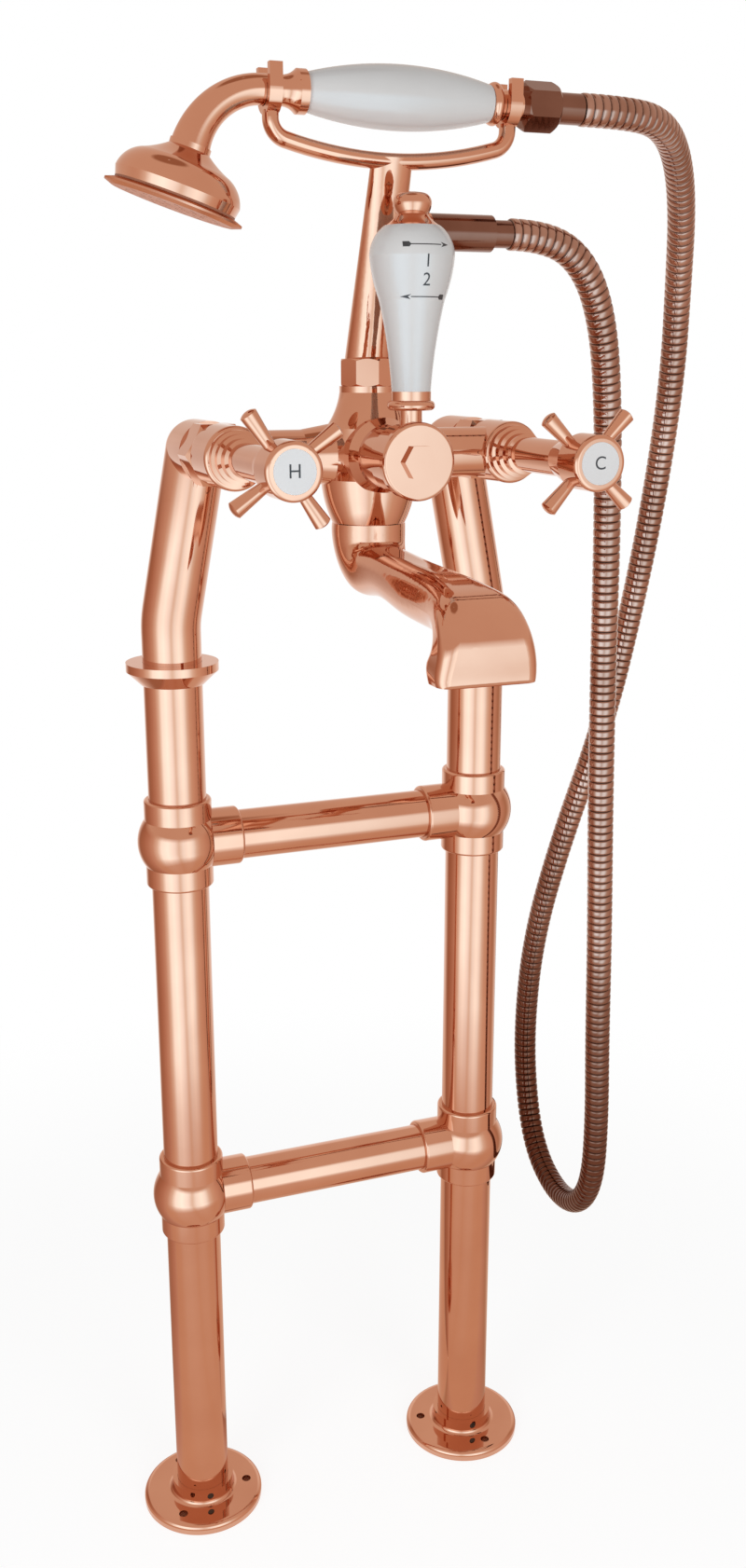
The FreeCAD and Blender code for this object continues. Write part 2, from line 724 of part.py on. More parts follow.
def union_nut(name, side):
    """The hexagon nut that draws the elbow and the valve barrel together."""
    label = f"{name}_union_nut"
    piece = nut(label, HEXAGON, f"2 * ({THREAD_RADIUS} + union_nut_wall)", "union_nut_length",
                f"{THREAD_RADIUS} + fit_clearance")
    keep(place(piece, FRONT, f"{side} * {VALVE_X}", f"-{UNION_REACH}", MIXER_Z), label)


def union_washer(name, side):
    """The flat washer squeezed between elbow and barrel."""
    return turned(f"{name}_union_washer", ring(ELBOW_BORE_RADIUS, THREAD_RADIUS, "0", "union_washer"),
                  FRONT, f"{side} * {VALVE_X}", f"-({UNION_REACH} + {THREAD_LENGTH})", MIXER_Z)


def mixer_body():
    """The cast body: centre, arms, valve barrels and the diverter's sleeve."""
    chamber = "(spout_spigot_diameter / 2 - spout_wall)"
    shelf = "(bell_drop + body_top_rise - cradle_spigot_depth)"
    centre = turned("body_centre", [
        ("0", "spout_spigot_height + running_gap"),
        ("spout_spigot_diameter / 2 + fit_clearance", "spout_spigot_height + running_gap"),
        ("spout_spigot_diameter / 2 + fit_clearance", "0"),
        ("spout_collar_diameter / 2", "0"),
        ("spout_collar_diameter / 2 + bell_swell", "bell_drop - bell_wide_drop", "bell_curve", 1),
        (SHOULDER_RADIUS, "bell_drop + body_shoulder_rise"),
        (BODY_TOP_RADIUS, "bell_drop + body_top_rise - body_top_band", "body_shoulder_curve", -1),
        (BODY_TOP_RADIUS, "bell_drop + body_top_rise"),
        ("cradle_spigot_diameter / 2 + fit_clearance", "bell_drop + body_top_rise"),
        ("cradle_spigot_diameter / 2 + fit_clearance", shelf),
        ("0", shelf),
    ], y="-body_reach", z=BELL_Z)
    pieces = [centre]
    hollows = [turned("arm_waterway", rod("arm_diameter / 2 - arm_wall", "0", "valve_centres"),
                      RIGHT, f"-{VALVE_X}", "-body_reach", MIXER_Z)]
    for name, side in SIDES.items():
        pieces.append(turned(f"{name}_arm", [
            ("0", "0"),
            ("arm_diameter / 2 + arm_flare", "0"),
            ("arm_diameter / 2 + arm_flare", f"{SHOULDER_RADIUS} - fit_clearance"),
            ("arm_diameter / 2", "arm_root_reach"),
            ("arm_diameter / 2", VALVE_X),
            ("0", VALVE_X),
        ], RIGHT if side > 0 else LEFT, "0", "-body_reach", MIXER_Z))
        barrel_length = f"({BARREL_REACH} - {BARREL_BACK})"
        barrel = "(headwork_socket_diameter / 2 + barrel_wall)"
        pieces.append(turned(f"{name}_barrel", [
            ("0", f"-{THREAD_LENGTH}"),
            (THREAD_RADIUS, f"-{THREAD_LENGTH}"),
            (THREAD_RADIUS, "0"),
            (f"{barrel} - barrel_edge_round", "0"),
            (barrel, "barrel_edge_round", "barrel_edge_round", 1),
            (barrel, f"{barrel_length} - barrel_edge_round"),
            (f"{barrel} - barrel_edge_round", barrel_length, "barrel_edge_round", 1),
            ("0", barrel_length),
        ], FRONT, f"{side} * {VALVE_X}", f"-{BARREL_BACK}", MIXER_Z))
        socket_radius = "headwork_socket_diameter / 2 + fit_clearance"
        hollows.append(turned(f"{name}_headwork_socket",
                              rod(socket_radius, "0", "headwork_socket_depth + running_gap"),
                              FRONT, f"{side} * {VALVE_X}", f"-{VALVE_SEAT}", MIXER_Z))
        hollows.append(turned(f"{name}_inlet_bore", rod(ELBOW_BORE_RADIUS, f"-{THREAD_LENGTH} - running_gap",
                                                        f"{VALVE_SEAT} - {BARREL_BACK}"),
                              FRONT, f"{side} * {VALVE_X}", f"-{BARREL_BACK}", MIXER_Z))
    pieces.append(turned("diverter_sleeve", [
        ("0", "0"),
        ("sleeve_diameter / 2 + sleeve_flare", "0"),
        ("sleeve_diameter / 2 + sleeve_flare", f"{SHOULDER_RADIUS} - fit_clearance"),
        ("sleeve_diameter / 2", "sleeve_root_reach"),
        ("sleeve_diameter / 2", "sleeve_reach"),
        ("0", "sleeve_reach"),
    ], FRONT, "0", "-body_reach", MIXER_Z))
    hollows.append(turned("diverter_bore", rod("diverter_spindle_diameter / 2 + fit_clearance", "0",
                                               "sleeve_reach + running_gap"),
                          FRONT, "0", "-body_reach", MIXER_Z))
    hollows.append(turned("mixing_chamber", [
        ("0", "spout_spigot_height"),
        (chamber, "spout_spigot_height"),
        (chamber, f"{shelf} - body_top_band"),
        ("riser_bore / 2", f"{shelf} - body_top_band"),
        ("riser_bore / 2", f"{shelf} + running_gap"),
        ("0", f"{shelf} + running_gap"),
    ], UP, "0", "-body_reach", BELL_Z))
    keep(cut("mixer_body", fused("body_casting", pieces), fused("body_hollows", hollows)), "mixer_body")


def headwork(name, side):
    """The valve insert, with stepped rings in front of the barrel."""
    label = f"{name}_headwork"
    flange = "(headwork_socket_depth + headwork_flange_length)"
    band = f"({flange} + headwork_ring_length)"
    neck = f"({band} + headwork_neck_length)"
    nose = f"({neck} + headwork_nose_length)"
    bore = "spindle_diameter / 2 + fit_clearance"
    outline = [
        ("0", "0"),
        ("headwork_socket_diameter / 2", "0"),
        ("headwork_socket_diameter / 2", "headwork_socket_depth"),
        ("headwork_flange_diameter / 2", "headwork_socket_depth"),
        ("headwork_flange_diameter / 2", flange),
        ("headwork_ring_diameter / 2", f"{flange} + running_gap"),
        ("headwork_ring_diameter / 2", band),
        ("headwork_neck_diameter / 2", f"{band} + running_gap"),
        ("headwork_neck_diameter / 2", neck),
        ("headwork_nose_diameter / 2", f"{neck} + running_gap"),
        ("headwork_nose_diameter / 2", nose),
        (bore, nose),
        (bore, f"{nose} - spindle_tail - running_gap"),
        ("0", f"{nose} - spindle_tail - running_gap"),
    ]
    keep(turned(label, outline, FRONT, f"{side} * {VALVE_X}", f"-{VALVE_SEAT}", MIXER_Z), label)


def cross_handle(name, side):
    """The four-spoke handle with its spindle, its screw and its index disc."""
    label = f"{name}_cross_handle"
    hub = "handle_hub_diameter / 2"
    disc = f"({hub} - index_disc_margin)"
    disc_floor = "(handle_length - index_disc_thickness)"
    head_floor = f"({disc_floor} - handle_screw_head_depth)"
    screw_bore = "(handle_screw_diameter / 2 + fit_clearance)"
    head_bore = "(handle_screw_head_diameter / 2 + fit_clearance)"
    bore = "(spindle_diameter / 2 + fit_clearance)"
    x, z = f"{side} * {VALVE_X}", MIXER_Z
    spoke_end = f"({hub} + spoke_reach)"
    body = turned(label, [
        (bore, "0"),
        ("handle_shroud_diameter / 2", "0"),
        ("handle_shroud_diameter / 2", "handle_shroud_length"),
        (hub, "handle_shroud_length + handle_flare_length"),
        (hub, "handle_length - handle_rim_round"),
        (f"{hub} - handle_rim_round", "handle_length", "handle_rim_round", 1),
        (f"{disc} + fit_clearance", "handle_length"),
        (f"{disc} + fit_clearance", disc_floor),
        (head_bore, disc_floor),
        (head_bore, head_floor),
        (screw_bore, head_floor),
        (screw_bore, "spindle_drive"),
        (bore, "spindle_drive"),
    ])
    spoke_height = "handle_length - spoke_setback"
    sketch = attached_sketch(body, label + "_spoke_outline", "XY_Plane", spoke_height, FIRST_SPOKE)
    draw_outline(sketch, [
        (head_bore + " + handle_rim_round", "0"),
        (spoke_end, "0"),
        (f"{spoke_end} - spoke_tip_dome", "spoke_tip_diameter / 2",
         "((spoke_tip_diameter / 2) ^ 2 + spoke_tip_dome ^ 2) / (2 * spoke_tip_dome)", 1),
        (hub, "spoke_root_diameter / 2"),
        (head_bore + " + handle_rim_round", "spoke_root_diameter / 2"),
    ])
    spoke = body.newObject("PartDesign::Revolution", label + "_spoke")
    spoke.Profile = sketch
    spoke.ReferenceAxis = (sketch, ["H_Axis"])
    spoke.Angle = 360
    spoke.Refine = False
    pattern = body.newObject("PartDesign::PolarPattern", label + "_spokes")
    pattern.Originals = [spoke]
    pattern.Axis = (sketch, ["N_Axis"])
    pattern.Angle = 360
    pattern.Occurrences = HANDLE_SPOKES
    pattern.Refine = False
    body.Tip = pattern
    turn = FRONT.multiply(Rotation(Vector(0, 0, 1), value(f"{name}_handle_angle") - FIRST_SPOKE))
    keep(place(body, turn, x, f"-{HANDLE_BACK}", z), label)

    label = f"{name}_spindle"
    keep(turned(label, [
        ("0", "-spindle_tail - running_gap"),
        ("spindle_diameter / 2", "-spindle_tail - running_gap"),
        ("spindle_diameter / 2", "spindle_drive"),
        (screw_bore, "spindle_drive"),
        (screw_bore, "spindle_drive - handle_screw_grip - running_gap"),
        ("0", "spindle_drive - handle_screw_grip - running_gap"),
    ], FRONT, x, f"-{HANDLE_BACK}", z), label)

    label = f"{name}_handle_screw"
    keep(turned(label, [
        ("0", "spindle_drive - handle_screw_grip"),
        ("handle_screw_diameter / 2", "spindle_drive - handle_screw_grip"),
        ("handle_screw_diameter / 2", head_floor),
        ("handle_screw_head_diameter / 2", head_floor),
        ("handle_screw_head_diameter / 2", f"{disc_floor} - running_gap"),
        ("0", f"{disc_floor} - running_gap"),
    ], FRONT, x, f"-{HANDLE_BACK}", z), label)

    label = f"{name}_index_disc"
    keep(turned(label, rod(disc, disc_floor, "handle_length"), FRONT, x, f"-{HANDLE_BACK}", z), label)


def diverter():
    """The turning hub of the diverter, its spindle and its cap."""
    hub = "diverter_hub_diameter / 2"
    seat = "(diverter_spindle_diameter / 2 + fit_clearance)"
    barrel = turned("diverter_hub_barrel", [
        ("0", "diverter_spindle_seat"),
        (seat, "diverter_spindle_seat"),
        (seat, "0"),
        (hub, "0"),
        (hub, "diverter_hub_length"),
        ("0", "diverter_hub_length"),
    ], FRONT, "0", f"-{HUB_BACK}", MIXER_Z)
    stem_outline = rod("lever_stem_diameter / 2 + fit_clearance", "lever_seat_radius", hub)
    stem_hole = turned("lever_stem_hole", stem_outline, UP, "0", LEVER_Y, MIXER_Z)
    keep(cut("diverter_hub", barrel, stem_hole), "diverter_hub")
    keep(turned("diverter_spindle", rod("diverter_spindle_diameter / 2", "-diverter_spindle_length",
                                        "diverter_spindle_seat"),
                FRONT, "0", f"-{HUB_BACK}", MIXER_Z), "diverter_spindle")
    edge = "diverter_cap_diameter / 2"
    disc = turned("diverter_cap_disc", [
        ("0", "0"),
        (edge, "0"),
        (edge, "diverter_cap_thickness - diverter_cap_round"),
        (f"{edge} - diverter_cap_round", "diverter_cap_thickness", "diverter_cap_round", 1),
        ("0", "diverter_cap_thickness"),
    ])
    head_length = "diverter_cap_thickness / 2 + diverter_cap_head_height"
    head = prism("diverter_cap_head", HEXAGON, "diverter_cap_head_flats", head_length)
    place(head, UP, z="diverter_cap_thickness / 2")
    cap = fused("diverter_cap", [disc, head])
    keep(place(cap, FRONT, "0", f"-({HUB_BACK} + diverter_hub_length)", MIXER_Z), "diverter_cap")


def lever():
    """The diverter's lever: stem, ferrule, ceramic grip and finial."""
    rod_radius = "lever_rod_diameter / 2"
    hole = f"({rod_radius} + fit_clearance)"
    keep(turned("lever_stem", [
        ("0", "lever_seat_radius"),
        ("lever_stem_diameter / 2", "lever_seat_radius"),
        ("lever_stem_diameter / 2", "lever_stem_top"),
        (rod_radius, "lever_stem_top"),
        (rod_radius, f"{GRIP_TOP_Z} + finial_skirt_height - {MIXER_Z}"),
        ("0", f"{GRIP_TOP_Z} + finial_skirt_height - {MIXER_Z}"),
    ], UP, "0", LEVER_Y, MIXER_Z), "lever_stem")
    bead = "lever_ring_diameter / 2"
    crown = "lever_grip_top_diameter / 2"
    keep(turned("lever_ferrule", [
        (hole, "0"),
        (f"{bead} - lever_ring_height / 2", "0"),
        (bead, "lever_ring_height / 2", "lever_ring_height / 2", 1),
        (f"{bead} - lever_ring_height / 2", "lever_ring_height", "lever_ring_height / 2", 1),
        ("lever_collar_diameter / 2", "lever_ring_height"),
        ("lever_collar_diameter / 2", "lever_ring_height + lever_collar_height"),
        (hole, "lever_ring_height + lever_collar_height"),
    ], UP, "0", LEVER_Y, STEM_TOP_Z), "lever_ferrule")
    keep(turned("lever_grip", [
        (hole, "0"),
        ("lever_grip_foot_diameter / 2", "0"),
        ("lever_grip_swell_diameter / 2", "lever_grip_swell_height", "lever_grip_hollow_curve", -1),
        ("lever_grip_diameter / 2", "lever_grip_wide_height", "lever_grip_swell_curve", 1),
        (crown, "lever_grip_height", upright_arc("lever_grip_diameter / 2", crown,
                                                 "lever_grip_height - lever_grip_wide_height"), 1),
        (hole, "lever_grip_height"),
    ], UP, "0", LEVER_Y, GRIP_FOOT_Z), "lever_grip")
    neck = "finial_neck_diameter / 2"
    ball = "finial_ball_diameter / 2"
    tip = "finial_crown_diameter / 2"
    ball_mid = "(finial_skirt_height + finial_ball_height / 2)"
    top = "(finial_skirt_height + finial_ball_height)"
    keep(turned("lever_finial", [
        (hole, "0"),
        (crown, "0"),
        (neck, "finial_skirt_height", "finial_skirt_curve", -1),
        (ball, ball_mid, upright_arc(ball, neck, "finial_ball_height / 2"), 1),
        (tip, f"{top} - finial_crown_height",
         upright_arc(ball, tip, "finial_ball_height / 2 - finial_crown_height"), 1),
        ("0", top, f"({tip}) ^ 2 / (2 * finial_crown_height) + finial_crown_height / 2", 1),
        ("0", "finial_skirt_height"),
        (hole, "finial_skirt_height"),
    ], UP, "0", LEVER_Y, GRIP_TOP_Z), "lever_finial")


def rounded_section(centre, across, over, width, depth, corner):
    """A rounded rectangle about a point, with its width along one direction and its depth along another."""
    half_width = width / 2 - corner
    half_depth = depth / 2 - corner
    edges = []
    diagonal = corner * math.sqrt(0.5)
    quadrants = [(1, 1), (-1, 1), (-1, -1), (1, -1)]
    for index, (right, high) in enumerate(quadrants):
        middle = centre + across * (right * half_width) + over * (high * half_depth)
        side_end = middle + across * (right * corner)
        top_end = middle + over * (high * corner)
        on_arc = middle + across * (right * diagonal) + over * (high * diagonal)
        first, last = (side_end, top_end) if right == high else (top_end, side_end)
        edges.append(Part.Arc(first, on_arc, last).toShape())
        next_right, next_high = quadrants[(index + 1) % 4]
        next_middle = centre + across * (next_right * half_width) + over * (next_high * half_depth)
        step = over * (next_high * corner) if right == high else across * (next_right * corner)
        edges.append(Part.LineSegment(last, next_middle + step).toShape())
    return Part.Wire(edges)


def spout():
    """The swivel spout: a collar, a level neck and a hood that opens downward."""
    axis_y = -value("body_reach")
    top = value(f"{BELL_Z} - running_gap")
    collar = value("spout_collar_diameter")
    neck_width = value("spout_neck_width")
    neck_height = value("spout_neck_height")
    root_width = value("spout_hood_root_width")
    root_height = value("spout_hood_root_height")
    mouth_width = value("spout_mouth_width")
    mouth_depth = value("spout_mouth_depth")
    bend_gap = value("spout_bend_gap")
    hood_gap = value("spout_hood_gap")
    bend = Vector(0, axis_y - collar / 2 - bend_gap, top - value("spout_collar_height") + bend_gap)
    neck_z = bend.z - bend_gap - neck_height / 2
    hood_y = axis_y - value("spout_reach") + hood_gap + mouth_depth / 2
    hood = Vector(0, hood_y, neck_z - value("spout_neck_fall") - root_height / 2 - hood_gap)

    def leaning(degrees):
        """The direction across a section, level at 0 degrees and upright at 90."""
        return Vector(0, -math.cos(math.radians(degrees)), math.sin(math.radians(degrees)))

    def sections(wall):
        """The outlines of the spout from its collar to its mouth, drawn in by a wall."""
        stations = [(Vector(0, axis_y, top), 0, collar, collar, ROUND_SHARE)]
        for step in range(SPOUT_STEPS + 1):
            share = step / SPOUT_STEPS
            depth = collar + (neck_height - collar) * share
            width = collar + (neck_width - collar) * share
            centre = bend - leaning(90 * share) * (bend_gap + depth / 2)
            stations.append((centre, 90 * share, width, depth, ROUND_SHARE))
        middle = Vector(0, (bend.y + hood.y) / 2, neck_z - value("spout_neck_fall") / 2)
        stations.append((middle, 90, neck_width, neck_height, ROUND_SHARE))
        for step in range(SPOUT_STEPS + 1):
            share = step / SPOUT_STEPS
            depth = root_height + (mouth_depth - root_height) * share
            width = root_width + (mouth_width - root_width) * share
            centre = hood + leaning(90 - 90 * share) * (hood_gap + depth / 2)
            roundness = ROUND_SHARE + (LIP_ROUND_SHARE - ROUND_SHARE) * share
            stations.append((centre, 90 - 90 * share, width, depth, roundness))
        lip = Vector(0, axis_y - value("spout_reach"), hood.z - value("spout_lip_height"))
        stations.append((lip, 0, mouth_width, mouth_depth, LIP_ROUND_SHARE))
        wires = []
        for centre, lean, width, depth, roundness in stations:
            inner_width = width - 2 * wall
            inner_depth = depth - 2 * wall
            corner = roundness * min(inner_width, inner_depth) / 2
            across = Vector(1, 0, 0)
            wires.append(rounded_section(centre, across, leaning(lean), inner_width, inner_depth, corner))
        return wires

    outside = Part.makeLoft(sections(0), True, False)
    inside = Part.makeLoft(sections(value("spout_wall")), True, False)
    spigot_radius = value("spout_spigot_diameter / 2")
    bore_radius = spigot_radius - value("spout_wall")
    foot = Vector(0, axis_y, top)
    spigot = Part.makeCylinder(spigot_radius, value("spout_spigot_height"), foot)
    shelf = Part.makeCylinder(collar / 2 - value("fit_clearance"), value("spout_wall"),
                              foot - Vector(0, 0, value("spout_wall")))
    bore = Part.makeCylinder(bore_radius, value("spout_spigot_height + 2 * spout_wall"),
                             foot - Vector(0, 0, value("2 * spout_wall")))
    thickness = value("spout_ring_thickness")
    clearance = value("fit_clearance")
    grooves = []
    rings = []
    for step in (1, 2):
        middle = foot + Vector(0, 0, step * value("spout_ring_step") - thickness)
        low = middle - Vector(0, 0, thickness / 2 + clearance)
        blank = Part.makeCylinder(spigot_radius + thickness, thickness + 2 * clearance, low)
        core = Part.makeCylinder(spigot_radius - thickness - clearance, thickness + 2 * clearance, low)
        grooves.append(blank.cut(core))
        rings.append(Part.makeTorus(spigot_radius - thickness / 2, thickness / 2, middle))
    shape = outside.cut(inside).fuse([spigot, shelf]).cut([bore] + grooves)
    keep(feature("spout", shape.removeSplitter()), "spout")
    keep(feature("spout_o_rings", Part.makeCompound(rings)), "spout_o_rings")


def riser_nut():
    """The octagon nut between the mixer body and the cradle's column."""
    piece = nut("riser_nut", OCTAGON, "riser_nut_flats", "riser_nut_height",
                "cradle_spigot_diameter / 2 + fit_clearance")
    keep(place(piece, UP, "0", "-body_reach", BODY_TOP_Z), "riser_nut")


def fork(x):
    """An open fork of the cradle about the handset's axis."""
    inner = value("handset_neck_diameter / 2 + fork_clearance")
    outer = value(FORK_RADIUS)
    rise = value("fork_rise")
    middle = Vector(x - value("fork_width / 2"), value(HANDSET_Y), value(HANDSET_Z))

    def spot(y, z):
        """A point of the fork's outline, about the handset's axis."""
        return middle + Vector(0, y, z)

    def run(first, last):
        """A straight side of the outline."""
        return Part.LineSegment(first, last).toShape()

    outline = Part.Wire([
        run(spot(-outer, rise), spot(-outer, 0)),
        Part.Arc(spot(-outer, 0), spot(0, -outer), spot(outer, 0)).toShape(),
        run(spot(outer, 0), spot(outer, rise)),
        run(spot(outer, rise), spot(inner, rise)),
        run(spot(inner, rise), spot(inner, 0)),
        Part.Arc(spot(inner, 0), spot(0, -inner), spot(-inner, 0)).toShape(),
        run(spot(-inner, 0), spot(-inner, rise)),
        run(spot(-inner, rise), spot(-outer, rise)),
    ])
    return Part.Face(outline).extrude(Vector(value("fork_width"), 0, 0))


def yoke():
    """The sagging bar between the two forks."""
    y = value(HANDSET_Y)
    low = value(COLUMN_TOP_Z)
    half = value(FORK_X)
    corner = value("yoke_corner_radius")
    angle = math.radians(value("yoke_end_angle"))
    bend_x = value(YOKE_BEND_X)
    bend_z = low + value(YOKE_SAG)
    centre_z = bend_z + corner * math.cos(angle)
    halfway = (angle + math.pi / 2) / 2
    turn_x = half - corner + corner * math.sin(halfway)
    turn_z = centre_z - corner * math.cos(halfway)
    top_z = centre_z + value("fork_stem")

    def spot(x, z):
        """A point of the bar's course."""
        return Vector(x, y, z)

    edges = [
        Part.LineSegment(spot(-half, top_z), spot(-half, centre_z)).toShape(),
        Part.Arc(spot(-half, centre_z), spot(-turn_x, turn_z), spot(-bend_x, bend_z)).toShape(),
        Part.Arc(spot(-bend_x, bend_z), spot(0, low), spot(bend_x, bend_z)).toShape(),
        Part.Arc(spot(bend_x, bend_z), spot(turn_x, turn_z), spot(half, centre_z)).toShape(),
        Part.LineSegment(spot(half, centre_z), spot(half, top_z)).toShape(),
    ]
    section = Part.Ellipse(Vector(), value("yoke_depth / 2"), value("yoke_thickness / 2")).toShape()
    section.Placement = Placement(spot(-half, top_z), Rotation(Vector(0, 0, 1), 90))
    return Part.Wire(edges).makePipeShell([Part.Wire(section)], True, False)


def cradle():
    """The raked column with its hose outlet, and the yoke and forks that hold the handset."""
    base = Vector(0, -value("body_reach"), value(COLUMN_BASE_Z))
    top = Vector(0, value(HANDSET_Y), value(f"{COLUMN_TOP_Z} + column_overlap"))
    up = Vector(0, 0, 1)
    crown = Part.Ellipse(Vector(), value("column_top_width / 2"), value("column_top_depth / 2")).toShape()
    crown.Placement = Placement(top, UP)
    rims = [
        Part.Wire(Part.Circle(base, up, value("column_base_diameter / 2")).toShape()),
        Part.Wire(crown),
    ]
    column = Part.makeLoft(rims, True, True)
    spigot_height = value("cradle_spigot_depth + riser_nut_height")
    spigot = Part.makeCylinder(value("cradle_spigot_diameter / 2"), spigot_height, base - up * spigot_height)
    boss_start = Vector(0, value(OUTLET_Y), value(OUTLET_Z))
    right = Vector(1, 0, 0)
    boss_reach = value("outlet_boss_reach")
    boss = Part.makeCylinder(value("outlet_boss_diameter / 2"), boss_reach, boss_start, right)
    half = value(FORK_X)
    bore = value("riser_bore / 2")
    rise = boss_start - base
    waterway = [
        Part.makeCylinder(bore, spigot_height, base - up * spigot_height),
        Part.makeCylinder(bore, rise.Length, base, rise),
        Part.makeSphere(bore, base),
        Part.makeSphere(bore, boss_start),
        Part.makeCylinder(bore, boss_reach, boss_start, right),
    ]
    shape = column.fuse([yoke(), fork(-half), fork(half), spigot, boss]).cut(waterway)
    keep(feature("cradle", shape.removeSplitter()), "cradle")


def hose_outlet():
    """The socket on the column's boss and the ferrule that the hose is crimped to."""
    bore = "hose_bore / 2"
    keep(turned("hose_outlet_socket", [
        (bore, "0"),
        ("outlet_socket_diameter / 2", "0"),
        ("outlet_socket_diameter / 2", "outlet_socket_length"),
        (bore, "outlet_socket_length"),
    ], RIGHT, "outlet_boss_reach", OUTLET_Y, OUTLET_Z), "hose_outlet_socket")
    keep(turned("hose_start_ferrule", ring(bore, "hose_ferrule_diameter / 2", "0", "hose_ferrule_length"),
                RIGHT, OUTLET_X, OUTLET_Y, OUTLET_Z), "hose_start_ferrule")


def handset_grip():
    """The ceramic grip between its ferrules, with the water tube through it."""
    y, z = HANDSET_Y, HANDSET_Z
    bore = "handset_bore / 2"
    tube = f"({bore} + water_tube_wall)"
    seat = f"({tube} + fit_clearance)"
    neck = "handset_neck_diameter / 2"
    rim = "ferrule_diameter / 2"
    swell = "((grip_diameter - grip_end_diameter) / 2)"
    keep(turned("handset_grip", [
        (seat, "0"),
        ("grip_end_diameter / 2", "0"),
        ("grip_end_diameter / 2", "grip_length", f"(grip_length ^ 2 / 4 + {swell} ^ 2) / (2 * {swell})", 1),
        (seat, "grip_length"),
    ], RIGHT, GRIP_LEFT, y, z), "handset_grip")
    keep(turned("front_ferrule", [
        (seat, "0"),
        (rim, "0"),
        (rim, "front_ferrule_band"),
        (neck, "front_ferrule_length", "front_ferrule_curve", -1),
        (bore, "front_ferrule_length"),
        (bore, "water_tube_seat"),
        (seat, "water_tube_seat"),
    ], LEFT, GRIP_LEFT, y, z), "front_ferrule")
    keep(turned("rear_ferrule", [
        (seat, "0"),
        (f"{rim} - rear_bead_length / 2", "0"),
        (rim, "rear_bead_length / 2", "rear_bead_length / 2", 1),
        (f"{rim} - rear_bead_length / 2", "rear_bead_length", "rear_bead_length / 2", 1),
        (neck, "rear_bead_length"),
        (neck, "rear_ferrule_length"),
        (bore, "rear_ferrule_length"),
        (bore, "water_tube_seat"),
        (seat, "water_tube_seat"),
    ], RIGHT, GRIP_RIGHT, y, z), "rear_ferrule")
    keep(turned("handset_water_tube", ring(bore, tube, "-water_tube_seat", "grip_length + water_tube_seat"),
                RIGHT, GRIP_LEFT, y, z), "handset_water_tube")
    piece = nut("handset_hose_nut", HEXAGON, "hose_nut_flats", "hose_nut_length", bore)
    keep(place(piece, RIGHT, NUT_X, y, z), "handset_hose_nut")
    keep(turned("hose_end_ferrule", ring(bore, "end_ferrule_diameter / 2", "0", "end_ferrule_length"),
                RIGHT, END_FERRULE_X, y, z), "hose_end_ferrule")


def handset_neck():
    """The tapered neck that bends down from the grip to the rose."""
    y = value(HANDSET_Y)
    z = value(HANDSET_Z)
    begin = Vector(value(f"{GRIP_LEFT} - front_ferrule_length"), y, z)
    left = Vector(-1, 0, 0)
    down = Rotation(Vector(1, 0, 0), value("rose_roll")).multVec(Vector(0, 0, -1))
    bend = begin + left * value("handset_neck_straight")
    radius = value("handset_neck_radius")
    turn = math.radians(90 - value("rose_tilt"))
    centre = bend + down * radius
    halfway = centre + (left * math.sin(turn / 2) - down * math.cos(turn / 2)) * radius
    end = centre + (left * math.sin(turn) - down * math.cos(turn)) * radius
    path = Part.Wire([
        Part.LineSegment(begin, bend).toShape(),
        Part.Arc(bend, halfway, end).toShape(),
    ])
    out = left * math.cos(turn) + down * math.sin(turn)
    neck_radius = value("handset_neck_diameter / 2")
    rims = [
        Part.Wire(Part.Circle(begin, left, neck_radius).toShape()),
        Part.Wire(Part.Circle(bend, left, neck_radius).toShape()),
        Part.Wire(Part.Circle(end, out, value("handset_neck_end_diameter / 2")).toShape()),
    ]
    outside = path.makePipeShell(rims, True, True)
    shape = outside.cut(round_sweep(path, value("handset_bore / 2")))
    keep(feature("handset_neck", shape), "handset_neck")


